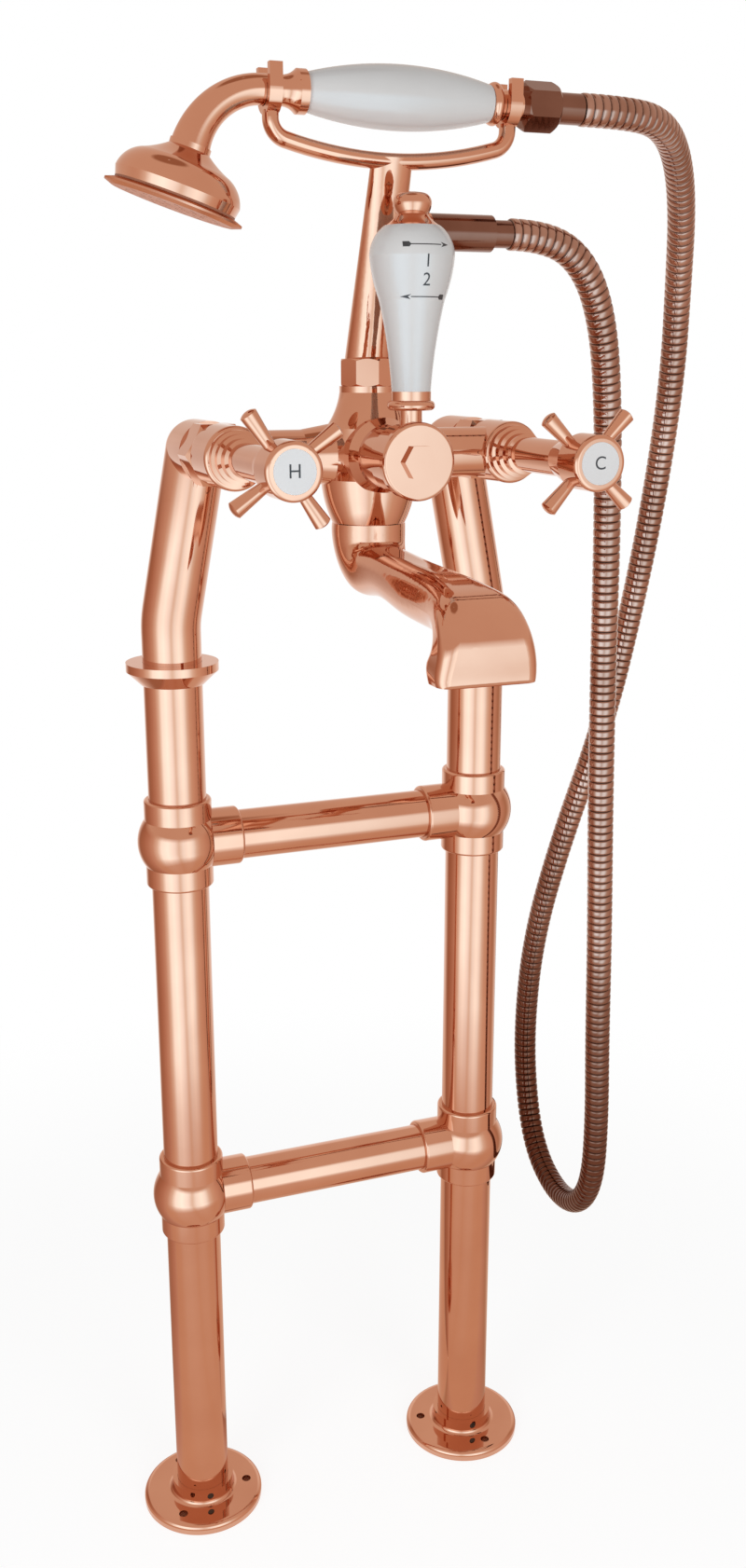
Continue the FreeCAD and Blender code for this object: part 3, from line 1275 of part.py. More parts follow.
def rose():
    """The shower rose at the end of the neck: bell, gasket and spray plate."""
    roll = Rotation(Vector(1, 0, 0), value("rose_roll"))
    turn = roll.multiply(Rotation(Vector(0, 1, 0), 180 + value("rose_tilt")))
    angle = "(90 - rose_tilt)"
    drop = f"handset_neck_radius * (1 - cos({angle}))"
    x = f"{GRIP_LEFT} - front_ferrule_length - handset_neck_straight - handset_neck_radius * sin({angle})"
    y = f"{HANDSET_Y} + {drop} * sin(rose_roll)"
    z = f"{HANDSET_Z} - {drop} * cos(rose_roll)"
    shoulder = "rose_shoulder_diameter / 2"
    rim_outside = "(rose_diameter / 2 - rose_wall / 2)"
    rim_inside = f"({rim_outside} - rose_wall)"
    keep(turned("rose_bell", [
        ("handset_bore / 2", "0"),
        ("rose_ring_diameter / 2", "0"),
        ("rose_ring_diameter / 2", "rose_ring_length"),
        (shoulder, "rose_shoulder_depth", "rose_hollow_curve", -1),
        ("rose_diameter / 2", "rose_wide_depth", "rose_dome_curve", 1),
        (rim_outside, "rose_depth"),
        (rim_inside, "rose_depth"),
        (rim_inside, "rose_wide_depth"),
        (f"{shoulder} - rose_wall", "rose_shoulder_depth + rose_wall"),
        ("handset_bore / 2", "rose_ring_length + rose_wall"),
    ], turn, x, y, z), "rose_bell")

    def along(depth):
        """The place on the rose's axis at a depth from its joint with the neck."""
        return (f"{x} - cos({angle}) * {depth}", f"{y} + sin({angle}) * sin(rose_roll) * {depth}",
                f"{z} - sin({angle}) * cos(rose_roll) * {depth}")

    keep(turned("rose_gasket", ring(rim_inside, rim_outside, "0", "rose_gasket"), turn, *along("rose_depth")),
         "rose_gasket")
    rim = "rose_plate_diameter / 2"
    plate = turned("rose_plate", [
        ("0", "0"),
        (f"{rim} - rose_plate_thickness", "0"),
        (rim, "(rose_plate_thickness - rose_plate_edge) / 2"),
        (rim, "(rose_plate_thickness + rose_plate_edge) / 2"),
        (f"{rim} - rose_plate_thickness", "rose_plate_thickness"),
        ("0", "rose_plate_thickness"),
    ])
    for ring_number in range(1, SPRAY_RINGS + 1):
        round_holes(plate, f"spray_holes_{ring_number}", f"{ring_number} * spray_ring_step", "0",
                    "spray_hole_diameter", SPRAY_HOLES_PER_RING * ring_number)
    keep(place(plate, turn, *along("(rose_depth + rose_gasket)")), "rose_plate")


def steady_frames(wire, distances):
    """Places along a wire, square to it, whose X axis turns no more than the wire does."""
    frames = []
    edges = wire.OrderedEdges
    passed = 0.0
    index = 0
    steady = Vector(0, 0, 1)
    for distance in distances:
        while index < len(edges) - 1 and distance > passed + edges[index].Length:
            passed += edges[index].Length
            index += 1
        edge = edges[index]
        parameter = edge.getParameterByLength(min(max(distance - passed, 0.0), edge.Length))
        along = edge.tangentAt(parameter)
        steady = (steady - along * steady.dot(along)).normalize()
        frames.append(Placement(edge.valueAt(parameter), Rotation(steady, along.cross(steady), along, "ZXY")))
    return frames


def round_rim(frame, radius):
    """A circle in a place's own XY plane."""
    circle = Part.makeCircle(radius)
    circle.Placement = frame
    return Part.Wire(circle)


def shower_hose():
    """The ribbed hose with its bore, from the outlet's ferrule to the handset's."""
    start = Vector(value(f"{OUTLET_X} + hose_ferrule_length"), value(OUTLET_Y), value(OUTLET_Z))
    end_x = value(f"{END_FERRULE_X} + end_ferrule_length + running_gap")
    end = Vector(end_x, value(HANDSET_Y), value(HANDSET_Z))
    route = [start, start + Vector(value("hose_start_run"), 0, 0)]
    route += [start + Vector(*step) for step in HOSE_DROP]
    route += [end + Vector(*step) for step in HOSE_CLIMB]
    route += [end + Vector(value("hose_end_run"), 0, 0), end]
    radii = []
    for before, corner, after in zip(route, route[1:], route[2:]):
        turn = (corner - before).getAngle(after - corner)
        shorter = min((corner - before).Length, (after - corner).Length)
        radii.append(BEND_SHARE * shorter / math.tan(turn / 2))
    print("hose radii", [round(radius) for radius in radii])
    wire = tangent_wire(route, radii)
    length = wire.Length
    pitch = length / HOSE_RIBS
    crest = value("hose_diameter / 2")
    groove = crest - value("hose_groove_depth")
    bore = value("hose_bore / 2")
    distances = []
    rim_radii = []
    crest_end = RIB_RISE + RIB_CREST
    profile = ((0, groove), (RIB_RISE, crest), (crest_end, crest), (crest_end + RIB_RISE, groove))
    for rib in range(HOSE_RIBS):
        for share, radius in profile:
            distances.append((rib + share) * pitch)
            rim_radii.append(radius)
    distances.append(length)
    rim_radii.append(groove)
    frames = steady_frames(wire, distances)
    rims = [round_rim(frame, radius) for frame, radius in zip(frames, rim_radii)]
    groove_frames = frames[::len(profile)]
    bore_rims = [round_rim(frame, bore) for frame in groove_frames]
    solid = Part.makeLoft(rims, True, True).cut(Part.makeLoft(bore_rims, True, True))
    slope = (groove ** 2 + groove * crest + crest ** 2) / 3
    mean_square = 2 * RIB_RISE * slope + RIB_CREST * crest ** 2 + (1 - 2 * RIB_RISE - RIB_CREST) * groove ** 2
    expected = math.pi * (mean_square - bore ** 2) * length
    print("hose length", round(length, 1))
    print("hose volume", round(solid.Volume), "section times length", round(expected))
    middles = [frame.Base for frame in groove_frames]
    apart = int(4 * crest / pitch) + 1
    gaps = [(first - second).Length - 2 * crest
            for index, first in enumerate(middles) for second in middles[index + apart:]]
    print("hose least gap to itself", round(min(gaps), 1))
    keep(feature("shower_hose", solid), "shower_hose")


for side_name, side_sign in SIDES.items():
    standpipe_tubes(side_name, side_sign)
    shroud_collar(side_name, side_sign)
    inlet_elbow(side_name, side_sign)
    union_nut(side_name, side_sign)
    headwork(side_name, side_sign)
    cross_handle(side_name, side_sign)
    for tee_level in ("lower", "upper"):
        ball_tee(side_name, side_sign, tee_level)
grub_screws = [floor_flange(name, side) for name, side in SIDES.items()]
keep(fused("flange_grub_screws", grub_screws), "flange_grub_screws")
washers = [union_washer(name, side) for name, side in SIDES.items()]
keep(fused("union_washers", washers), "union_washers")
for tee_level in ("lower", "upper"):
    crossbar(tee_level)
mixer_body()
diverter()
lever()
spout()
riser_nut()
cradle()
hose_outlet()
handset_grip()
handset_neck()
rose()
shower_hose()

doc.recompute()
for item in doc.Objects:
    if "Invalid" in item.State or "Error" in item.State:
        raise RuntimeError(f"{item.Label} failed: {item.State}")
for label, item in nodes.items():
    if item.Shape.isNull() or not item.Shape.isValid():
        raise RuntimeError(f"{label} has no valid shape")
os.makedirs("parts", exist_ok=True)
for label, item in nodes.items():
    item.Shape.exportStep(f"parts/{label}.step")
    print(label, len(item.Shape.Solids), round(item.Shape.Volume, 1))
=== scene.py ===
"""Looks of the freestanding bath mixer: camera, light, materials, the ribbed hose and the painted marks."""
import json
import math

import bmesh
import bpy
from mathutils import Matrix, Vector
from mathutils.bvhtree import BVHTree


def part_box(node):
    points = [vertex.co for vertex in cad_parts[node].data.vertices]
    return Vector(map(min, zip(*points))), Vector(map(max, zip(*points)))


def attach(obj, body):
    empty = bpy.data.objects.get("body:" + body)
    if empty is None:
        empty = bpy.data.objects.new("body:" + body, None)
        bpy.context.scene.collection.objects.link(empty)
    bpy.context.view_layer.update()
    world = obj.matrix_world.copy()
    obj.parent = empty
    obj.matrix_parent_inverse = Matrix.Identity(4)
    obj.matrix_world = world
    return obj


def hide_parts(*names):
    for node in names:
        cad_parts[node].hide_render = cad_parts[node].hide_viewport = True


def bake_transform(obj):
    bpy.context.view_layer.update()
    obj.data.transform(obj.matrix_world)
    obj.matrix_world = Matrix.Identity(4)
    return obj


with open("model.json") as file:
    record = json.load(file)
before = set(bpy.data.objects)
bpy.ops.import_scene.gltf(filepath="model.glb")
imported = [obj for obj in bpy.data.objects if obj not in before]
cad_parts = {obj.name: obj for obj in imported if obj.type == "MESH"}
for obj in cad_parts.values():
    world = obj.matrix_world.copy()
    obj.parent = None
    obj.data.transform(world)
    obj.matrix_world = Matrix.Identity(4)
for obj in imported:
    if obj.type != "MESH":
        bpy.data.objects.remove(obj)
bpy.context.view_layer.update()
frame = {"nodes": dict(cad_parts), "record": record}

nodes = frame["nodes"]
scene = bpy.context.scene
scene.view_settings.view_transform = "Standard"


def link(obj):
    """Put a new object in the scene."""
    scene.collection.objects.link(obj)
    return obj


def mesh_object(name, points, faces, smooth=True):
    """A mesh object from points and faces."""
    mesh = bpy.data.meshes.new(name)
    mesh.from_pydata(points, [], faces)
    mesh.polygons.foreach_set("use_smooth", [smooth] * len(mesh.polygons))
    mesh.update()
    return link(bpy.data.objects.new(name, mesh))


def curve_mesh(name, curve):
    """The points and faces that a curve or a text shows; the curve itself is removed."""
    holder = link(bpy.data.objects.new(name, curve))
    mesh = bpy.data.meshes.new_from_object(holder)
    points = [vertex.co.copy() for vertex in mesh.vertices]
    faces = [tuple(face.vertices) for face in mesh.polygons]
    bpy.data.objects.remove(holder)
    bpy.data.meshes.remove(mesh)
    bpy.data.curves.remove(curve)
    return points, faces


def centre(node):
    """The middle of a CAD node's box."""
    low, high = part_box(node)
    return (low + high) / 2


# the camera stands where the photograph was taken from; its lens and sensor are in millimetres
CAMERA_PLACE = Vector((-0.2688, -0.7752, 0.6966))
CAMERA_RIGHT = Vector((0.9347, -0.3555, 0.0)).normalized()
CAMERA_AHEAD = Vector((0.3417, 0.8986, -0.2752)).normalized()
CAMERA_LENS = 34.04
CAMERA_SENSOR = 36.0
CAMERA_NEAREST = 0.01


def photo_camera():
    """The camera that sees the object as the photograph does."""
    data = bpy.data.cameras.new("photo_camera")
    data.sensor_fit = "VERTICAL"
    data.sensor_height = CAMERA_SENSOR
    data.lens = CAMERA_LENS
    data.clip_start = CAMERA_NEAREST
    camera = link(bpy.data.objects.new("photo_camera", data))
    up = CAMERA_RIGHT.cross(CAMERA_AHEAD)
    turn = Matrix((CAMERA_RIGHT, up, -CAMERA_AHEAD)).transposed()
    camera.matrix_world = Matrix.Translation(CAMERA_PLACE) @ turn.to_4x4()
    scene.camera = camera


photo_camera()


# node trees
def add_node(tree, kind, inputs):
    """A new node; each input named here is linked to a socket or given a value."""
    node = tree.nodes.new(kind)
    for name, source in inputs.items():
        if isinstance(source, bpy.types.NodeSocket):
            tree.links.new(source, node.inputs[name])
        else:
            node.inputs[name].default_value = source
    return node


def empty_tree(holder, output):
    """The emptied node tree of a material or a world, and the surface input of its output."""
    holder.use_nodes = True
    tree = holder.node_tree
    tree.nodes.clear()
    return tree, tree.nodes.new(output).inputs["Surface"]


def new_material(name):
    """A material, its empty node tree and the surface input of its output."""
    material = bpy.data.materials.new(name)
    tree, surface = empty_tree(material, "ShaderNodeOutputMaterial")
    return material, tree, surface


def math_node(tree, operation, first, second):
    """The result of an operation on two values."""
    node = add_node(tree, "ShaderNodeMath", {0: first, 1: second})
    node.operation = operation
    return node.outputs["Value"]


def mix_shaders(tree, share, first, second):
    """A mix of two shaders, by the share of the second."""
    node = add_node(tree, "ShaderNodeMixShader", {"Fac": share, 1: first, 2: second})
    return node.outputs["Shader"]


def object_place(tree):
    """The place on the object, in its own metres."""
    return tree.nodes.new("ShaderNodeTexCoord").outputs["Object"]


# textures: where in a noise's range a colour and a roughness change
SHADE_SPAN = (0.3, 0.7)
ROUGH_SPAN = (0.25, 0.75)
EVEN = (1, 1, 1)


def noise(tree, scale, detail, stretch=EVEN):
    """A noise on the object."""
    mapping = add_node(tree, "ShaderNodeMapping", {"Vector": object_place(tree), "Scale": stretch})
    inputs = {"Vector": mapping.outputs["Vector"], "Scale": scale, "Detail": detail}
    return add_node(tree, "ShaderNodeTexNoise", inputs).outputs["Fac"]


def clouded(tree, texture, dark, light):
    """A colour that runs from dark to light with a texture."""
    node = add_node(tree, "ShaderNodeValToRGB", {"Fac": texture})
    for element, position, colour in zip(node.color_ramp.elements, SHADE_SPAN, (dark, light)):
        element.position = position
        element.color = (*colour, 1)
    return node.outputs["Color"]


def smeared(tree, texture, low, high):
    """A roughness that runs from low to high with a texture."""
    start, end = ROUGH_SPAN
    inputs = {"Value": texture, "From Min": start, "From Max": end, "To Min": low, "To Max": high}
    return add_node(tree, "ShaderNodeMapRange", inputs).outputs["Result"]


def relief(tree, texture, depth):
    """The normal of a small relief."""
    return add_node(tree, "ShaderNodeBump", {"Height": texture, "Distance": depth}).outputs["Normal"]


# materials: each noise has its scale and its detail
METAL_CLOUD = (22.0, 5.0)
METAL_SMEAR = (60.0, 3.0)
METAL_SMEAR_STRETCH = (1, 1, 0.25)
METAL_WAVE = (45.0, 1.0)
GLAZE_CLOUD = (30.0, 4.0)
GLAZE_PITS = (160.0, 2.0)
GLAZE_ROUGH = (0.16, 0.26)
GLAZE_DEPTH = 0.00002
GLAZE_COAT = 0.3
GLAZE_COAT_ROUGH = 0.06
GRAIN_DETAIL = 3.0
SPRAY_EDGE = (0.68, 0.42, 0.32)
# painted shade kept on the hose's mesh: red darkens the grooves between ribs, green darkens the hanging
# loop
RIB_SHADE = "rib_shade"


def metal(name, dark, light, rough, ripple):
    """A polished metal with cloudy colour, smears in its polish and a faint cast ripple."""
    material, tree, surface = new_material(name)
    shader = add_node(tree, "ShaderNodeBsdfPrincipled", {
        "Metallic": 1.0,
        "Base Color": clouded(tree, noise(tree, *METAL_CLOUD), dark, light),
        "Roughness": smeared(tree, noise(tree, *METAL_SMEAR, METAL_SMEAR_STRETCH), *rough),
        "Normal": relief(tree, noise(tree, *METAL_WAVE), ripple),
    })
    tree.links.new(shader.outputs["BSDF"], surface)
    return material


def ribbed_metal(name, dark, light, groove_shade, loop_shade, rough, ripple):
    """A polished metal with painted shade: dark in the grooves between ribs and darker where the marks on
    the mesh say so.
    """
    material = metal(name, dark, light, rough, ripple)
    tree = material.node_tree
    shader = tree.nodes["Principled BSDF"]
    colour = shader.inputs["Base Color"].links[0].from_socket
    marks = tree.nodes.new("ShaderNodeVertexColor")
    marks.layer_name = RIB_SHADE
    shares = add_node(tree, "ShaderNodeSeparateColor", {"Color": marks.outputs["Color"]})
    # painted shade: the colour is mixed towards a dark colour in the grooves and on the hanging loop
    for share, shade_colour in (("Green", loop_shade), ("Red", groove_shade)):
        mix = tree.nodes.new("ShaderNodeMix")
        mix.data_type = "RGBA"
        mix.inputs["A"].default_value = (*shade_colour, 1)
        tree.links.new(shares.outputs[share], mix.inputs["Factor"])
        tree.links.new(colour, mix.inputs["B"])
        colour = mix.outputs["Result"]
    tree.links.new(colour, shader.inputs["Base Color"])
    return material


def spray_metal(name, dark, light, rough, ripple):
    """A brushed metal, less white than a polish where it is seen edge on."""
    material = metal(name, dark, light, rough, ripple)
    shader = material.node_tree.nodes["Principled BSDF"]
    shader.inputs["Specular Tint"].default_value = (*SPRAY_EDGE, 1)
    return material


def glaze(name, dark, light):
    """A white glaze with faint clouding and a soft waviness."""
    material, tree, surface = new_material(name)
    pits = noise(tree, *GLAZE_PITS)
    shader = add_node(tree, "ShaderNodeBsdfPrincipled", {
        "Base Color": clouded(tree, noise(tree, *GLAZE_CLOUD), dark, light),
        "Roughness": smeared(tree, pits, *GLAZE_ROUGH),
        "Coat Weight": GLAZE_COAT,
        "Coat Roughness": GLAZE_COAT_ROUGH,
        "Normal": relief(tree, pits, GLAZE_DEPTH),
    })
    tree.links.new(shader.outputs["BSDF"], surface)
    return material


def grained(name, dark, light, rough, grain, depth):
    """A matt material with grain."""
    material, tree, surface = new_material(name)
    texture = noise(tree, grain, GRAIN_DETAIL)
    shader = add_node(tree, "ShaderNodeBsdfPrincipled", {
        "Base Color": clouded(tree, texture, dark, light),
        "Roughness": smeared(tree, texture, *rough),
        "Normal": relief(tree, texture, depth),
    })
    tree.links.new(shader.outputs["BSDF"], surface)
    return material


MATERIALS = {
    "polished_copper": metal(
        "polished_copper", dark=(0.645, 0.322, 0.21), light=(0.7, 0.37, 0.247),
        rough=(0.03, 0.07), ripple=0.00003,
    ),
    "dark_copper": metal(
        "dark_copper", dark=(0.17, 0.072, 0.047), light=(0.26, 0.125, 0.088),
        rough=(0.07, 0.13), ripple=0.00002,
    ),
    "screw_steel": metal(
        "screw_steel", dark=(0.05, 0.046, 0.044), light=(0.1, 0.095, 0.09),
        rough=(0.25, 0.4), ripple=0.00002,
    ),
    "ceramic": glaze("ceramic", dark=(0.845, 0.845, 0.842), light=(0.89, 0.895, 0.895)),
    "index_enamel": glaze("index_enamel", dark=(0.89, 0.87, 0.862), light=(0.93, 0.91, 0.905)),
    "rubber": grained(
        "rubber", dark=(0.42, 0.17, 0.1), light=(0.52, 0.23, 0.14),
        rough=(0.5, 0.7), grain=300.0, depth=0.00004,
    ),
}
SPRAY_COPPER = spray_metal(
    "spray_copper", dark=(0.6, 0.3, 0.2), light=(0.66, 0.34, 0.23), rough=(0.2, 0.3), ripple=0.00003,
)
# the hose's groove shade and loop shade are painted shade colours
HOSE_COPPER = ribbed_metal(
    "hose_copper", dark=(0.34, 0.175, 0.125), light=(0.52, 0.31, 0.24),
    groove_shade=(0.02, 0.008, 0.005), loop_shade=(0.13, 0.046, 0.026), rough=(0.05, 0.1), ripple=0.00002,
)
MARK_INK = grained(
    "mark_ink", dark=(0.035, 0.035, 0.038), light=(0.075, 0.075, 0.08),
    rough=(0.4, 0.6), grain=900.0, depth=0.000004,
)
for subpart in frame["record"]["subparts"]:
    node = nodes[subpart["node"]]
    node.data.materials.clear()
    node.data.materials.append(MATERIALS[subpart["material_slot"]])
nodes["rose_plate"].data.materials[0] = SPRAY_COPPER


# the hose's route, as in the part's source, from the outlet's ferrule round the loop to the handset
HOSE_START = Vector((0.065, -0.08267, 0.755))
HOSE_END = Vector((0.096, -0.093, 0.811))
HOSE_START_RUN = Vector((0.022, 0, 0))
HOSE_END_RUN = Vector((0.027, 0, 0))
MILLIMETRE = 0.001
# millimetres from the start
HOSE_DROP = [
    (45, 4, -13), (61, 12, -41), (71, 21, -85), (78, 29, -147), (81, 32, -223), (83, 32, -303),
    (87, 33, -387), (91, 37, -459), (95, 40, -515), (97, 45, -564), (99, 66, -594), (102, 101, -605),
]
# millimetres from the end
HOSE_CLIMB = [
    (73, 146, -650), (75, 167, -620), (74, 173, -567), (74, 163, -493), (87, 150, -417),
    (107, 138, -341), (118, 127, -261), (123, 115, -189), (121, 100, -123), (111, 83, -73),
    (96, 59, -36), (76, 34, -13), (52, 11, -2),
]
HOSE_ROUTE = [
    HOSE_START,
    HOSE_START + HOSE_START_RUN,
    *(HOSE_START + Vector(step) * MILLIMETRE for step in HOSE_DROP),
    *(HOSE_END + Vector(step) * MILLIMETRE for step in HOSE_CLIMB),
    HOSE_END + HOSE_END_RUN,
    HOSE_END,
]
HOSE_CREST = 0.0075
HOSE_GROOVE = 0.0064
HOSE_BORE = 0.004
HOSE_PITCH = 0.0044
HOSE_SIDES = 24
HOSE_CURVE_ORDER = 3
HOSE_CURVE_STEPS = 32
# the round of one rib: shares of its pitch and of its height
RIB_SHAPE = [
    (0.0, 0.0), (0.05, 0.52), (0.13, 0.87), (0.27, 0.98),
    (0.5, 1.0), (0.73, 0.98), (0.87, 0.87), (0.95, 0.52),
]
# the hanging loop has painted shade, darkest at its foot: metres along the hose
LOOP_SHADE_MIDDLE = 0.69
LOOP_SHADE_REACH = 0.28


def smooth_line(name, route):
    """The points of the smooth curve that a route controls."""
    curve = bpy.data.curves.new(name, "CURVE")
    curve.dimensions = "3D"
    curve.resolution_u = HOSE_CURVE_STEPS
    spline = curve.splines.new("NURBS")
    spline.points.add(len(route) - 1)
    for point, place in zip(spline.points, route):
        point.co = (*place, 1)
    spline.order_u = HOSE_CURVE_ORDER
    spline.use_endpoint_u = True
    points, _ = curve_mesh(name, curve)
    return points


def walk(points):
    """The distance along a line at each of its points."""
    distances = [0.0]
    for before, after in zip(points, points[1:]):
        distances.append(distances[-1] + (after - before).length)
    return distances


def stations(points, marks):
    """Places, directions and steady side directions along a line at given distances."""
    distances = walk(points)
    index = 0
    side = Vector((0, 0, 1))
    frames = []
    for mark in marks:
        while index < len(points) - 2 and distances[index + 1] < mark:
            index += 1
        span = distances[index + 1] - distances[index]
        share = min(max((mark - distances[index]) / span, 0.0), 1.0)
        place = points[index].lerp(points[index + 1], share)
        last = min(index + 2, len(points) - 1)
        first = max(index - 1, 0)
        along = (points[last] - points[first]).normalized()
        side = (side - along * side.dot(along)).normalized()
        frames.append((place, along, side))
    return frames


def hose_rings(length):
    """Each ring of the hose's skin: its distance along it, its radius and its share of a rib's height."""
    ribs = round(length / HOSE_PITCH)
    rings = [(0.0, HOSE_BORE, 0.0)]
    for rib in range(ribs):
        for share, height in RIB_SHAPE:
            mark = (rib + share) * length / ribs
            rings.append((mark, HOSE_GROOVE + (HOSE_CREST - HOSE_GROOVE) * height, height))
    rings += [(length, HOSE_GROOVE, 0.0), (length, HOSE_BORE, 0.0)]
    return rings


def tube(frames, radii):
    """The points and faces of a tube with closed ends, through rings of given radii."""
    points = []
    for (place, along, side), radius in zip(frames, radii):
        other = along.cross(side)
        for step in range(HOSE_SIDES):
            angle = 2 * math.pi * step / HOSE_SIDES
            points.append(place + (side * math.cos(angle) + other * math.sin(angle)) * radius)
    faces = []
    last = len(points) - HOSE_SIDES
    for low in range(0, last, HOSE_SIDES):
        high = low + HOSE_SIDES
        for step in range(HOSE_SIDES):
            after = (step + 1) % HOSE_SIDES
            faces.append((low + step, low + after, high + after, high + step))
    faces.append(tuple(reversed(range(HOSE_SIDES))))
    faces.append(tuple(range(last, len(points))))
    return points, faces


def ribbed_hose():
    """The hose's skin: one rounded rib after another along its smooth line."""
    line = smooth_line("hose_line", HOSE_ROUTE)
    length = walk(line)[-1]
    marks, radii, heights = zip(*hose_rings(length))
    hose = mesh_object("ribbed_hose", *tube(stations(line, marks), radii))
    hose.data.materials.append(HOSE_COPPER)
    paint = hose.data.color_attributes.new(RIB_SHADE, "FLOAT_COLOR", "POINT")
    # painted shade: each ring's share of a rib's height keeps the grooves between ribs dark
    for index, corner in enumerate(paint.data):
        ring = index // HOSE_SIDES
        # painted shade: the hanging loop is darker, most at its foot
        loop_shade = max(1 - ((marks[ring] - LOOP_SHADE_MIDDLE) / LOOP_SHADE_REACH) ** 2, 0)
        corner.color = (heights[ring], 1 - loop_shade, 0, 1)
    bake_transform(hose)
    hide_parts("shower_hose")


ribbed_hose()


# the painted marks: two arrows and two numbers on the lever's grip, a letter on each index disc
MARK_LIFT = 0.00006
MARK_STEP = 0.0006
MARK_RAY_START = -0.4
BACKWARD = Vector((0, 1, 0))
NUMBER_SIZE = 0.0078
LETTER_SIZE = 0.0085
LEVER_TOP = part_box("lever_grip")[1].z
# each arrow's tail and tip from the middle, and its drop below the grip's top
LEVER_ARROWS = [(-0.0108, 0.0108, 0.0089), (0.0104, -0.0104, 0.0308)]
# each number and its drop
LEVER_NUMBERS = [("1", 0.0159), ("2", 0.0238)]
ARROW_SHAFT = 0.00022
ARROW_HEAD = 0.0042
ARROW_BARB = 0.0011
ARROW_FLIGHT = 0.0034
# shares of the arrow's head and of its flight
HEAD_NOTCH = 0.72
FLIGHT_SLIT = 0.35
FLIGHT_SHAFT = 0.5
FLIGHT_SHOULDER = 0.75


def surface_of(node):
    """The skin of a CAD node, for finding where a mark lies on it."""
    mesh = node.data
    points = [vertex.co.copy() for vertex in mesh.vertices]
    return BVHTree.FromPolygons(points, [list(face.vertices) for face in mesh.polygons])


def arrow(tail, tip, height):
    """The flat outlines of a thin arrow from one x to another: shaft, barbed head and slit flight."""
    way = 1 if tip > tail else -1
    neck = tip - way * ARROW_HEAD
    notch = tip - way * ARROW_HEAD * HEAD_NOTCH
    slit = tail + way * ARROW_FLIGHT * FLIGHT_SLIT
    start = tail + way * ARROW_FLIGHT * FLIGHT_SHAFT
    shoulder = tail + way * ARROW_FLIGHT * FLIGHT_SHOULDER
    end = tail + way * ARROW_FLIGHT
    shaft = [(start, -ARROW_SHAFT), (neck, -ARROW_SHAFT), (neck, ARROW_SHAFT), (start, ARROW_SHAFT)]
    head = [(tip, 0), (neck, ARROW_BARB), (notch, 0), (neck, -ARROW_BARB)]
    flight = [
        (tail, ARROW_BARB), (slit, 0), (tail, -ARROW_BARB),
        (shoulder, -ARROW_BARB), (end, 0), (shoulder, ARROW_BARB),
    ]
    outlines = [[(x, height + z) for x, z in outline] for outline in (shaft, head, flight)]
    return [(outline, [tuple(range(len(outline)))]) for outline in outlines]


def letter(text, size, x, z):
    """A letter or number as flat points and faces about a centre."""
    curve = bpy.data.curves.new("letter", "FONT")
    curve.body = text
    curve.size = size
    curve.align_x = "CENTER"
    curve.align_y = "CENTER"
    points, faces = curve_mesh("letter", curve)
    return [(x + point.x, z + point.y) for point in points], faces


def painted(name, flats, node, body):
    """Flat shapes laid on the front of a CAD node, cut fine enough to follow it."""
    work = bmesh.new()
    for points, faces in flats:
        corners = [work.verts.new((x, 0, z)) for x, z in points]
        for face in faces:
            work.faces.new([corners[index] for index in face])
    bmesh.ops.triangulate(work, faces=work.faces[:])
    while long_edges := [edge for edge in work.edges if edge.calc_length() > MARK_STEP]:
        bmesh.ops.subdivide_edges(work, edges=long_edges, cuts=1)
        bmesh.ops.triangulate(work, faces=work.faces[:])
    skin = surface_of(nodes[node])
    for corner in work.verts:
        start = Vector((corner.co.x, MARK_RAY_START, corner.co.z))
        hit, normal, _, _ = skin.ray_cast(start, BACKWARD)
        corner.co = hit + normal * MARK_LIFT
    mesh = bpy.data.meshes.new(name)
    work.to_mesh(mesh)
    work.free()
    mark = link(bpy.data.objects.new(name, mesh))
    mark.data.materials.append(MARK_INK)
    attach(mark, body)


def paint_marks():
    """All the painted marks."""
    flats = []
    for tail, tip, drop in LEVER_ARROWS:
        flats += arrow(tail, tip, LEVER_TOP - drop)
    for text, drop in LEVER_NUMBERS:
        flats.append(letter(text, NUMBER_SIZE, 0, LEVER_TOP - drop))
    painted("lever_marks", flats, "lever_grip", "diverter_lever")
    for side, text in (("hot", "H"), ("cold", "C")):
        disc = f"{side}_index_disc"
        middle = centre(disc)
        painted(f"{side}_mark", [letter(text, LETTER_SIZE, middle.x, middle.z)], disc, f"{side}_handle")


paint_marks()


# the white studio: its world, floor and lamps
WHITE = (1, 1, 1, 1)
WORLD_FILL = 0.34
FLOOR_HALF = 6.0
FLOOR_MATT = (0.8, 0.8, 0.8, 1)
FLOOR_LIFT = 1.35
FLOOR_LIFT_SHARE = 0.62
FLOOR_FADE = (0.3, 0.75)
FOOT_PLACES = [(centre(flange).x, 0, 0) for flange in ("hot_floor_flange", "cold_floor_flange")]
# the space under a flange begins between these two radii, a little inside its edge
FOOT_INSIDE = 0.03
FOOT_EDGE = 0.034
LAMP_WIDTH = 0.6
LAMP_HEIGHT = 0.9
LAMP_DISTANCE = 1.35
LAMP_RISE = 0.5
LAMP_TARGET = Vector((0, -0.05, 0.5))


def seen_and_lit(tree, seen, lit):
    """One shader for the camera, for gloss and for glass, and another for the rest of the light."""
    path = tree.nodes.new("ShaderNodeLightPath")
    looking = math_node(tree, "MAXIMUM", path.outputs["Is Camera Ray"], path.outputs["Is Glossy Ray"])
    looking = math_node(tree, "MAXIMUM", looking, path.outputs["Is Transmission Ray"])
    return mix_shaders(tree, looking, lit, seen)


def outside_feet(tree, place, most):
    """A value that is 0 under the two floor flanges and rises to its most outside them."""
    spans = []
    for foot in FOOT_PLACES:
        span = add_node(tree, "ShaderNodeVectorMath", {0: place, 1: foot})
        span.operation = "DISTANCE"
        spans.append(span.outputs["Value"])
    nearest = math_node(tree, "MINIMUM", *spans)
    inputs = {"Value": nearest, "From Min": FOOT_INSIDE, "From Max": FOOT_EDGE, "To Max": most}
    return add_node(tree, "ShaderNodeMapRange", inputs).outputs["Result"]


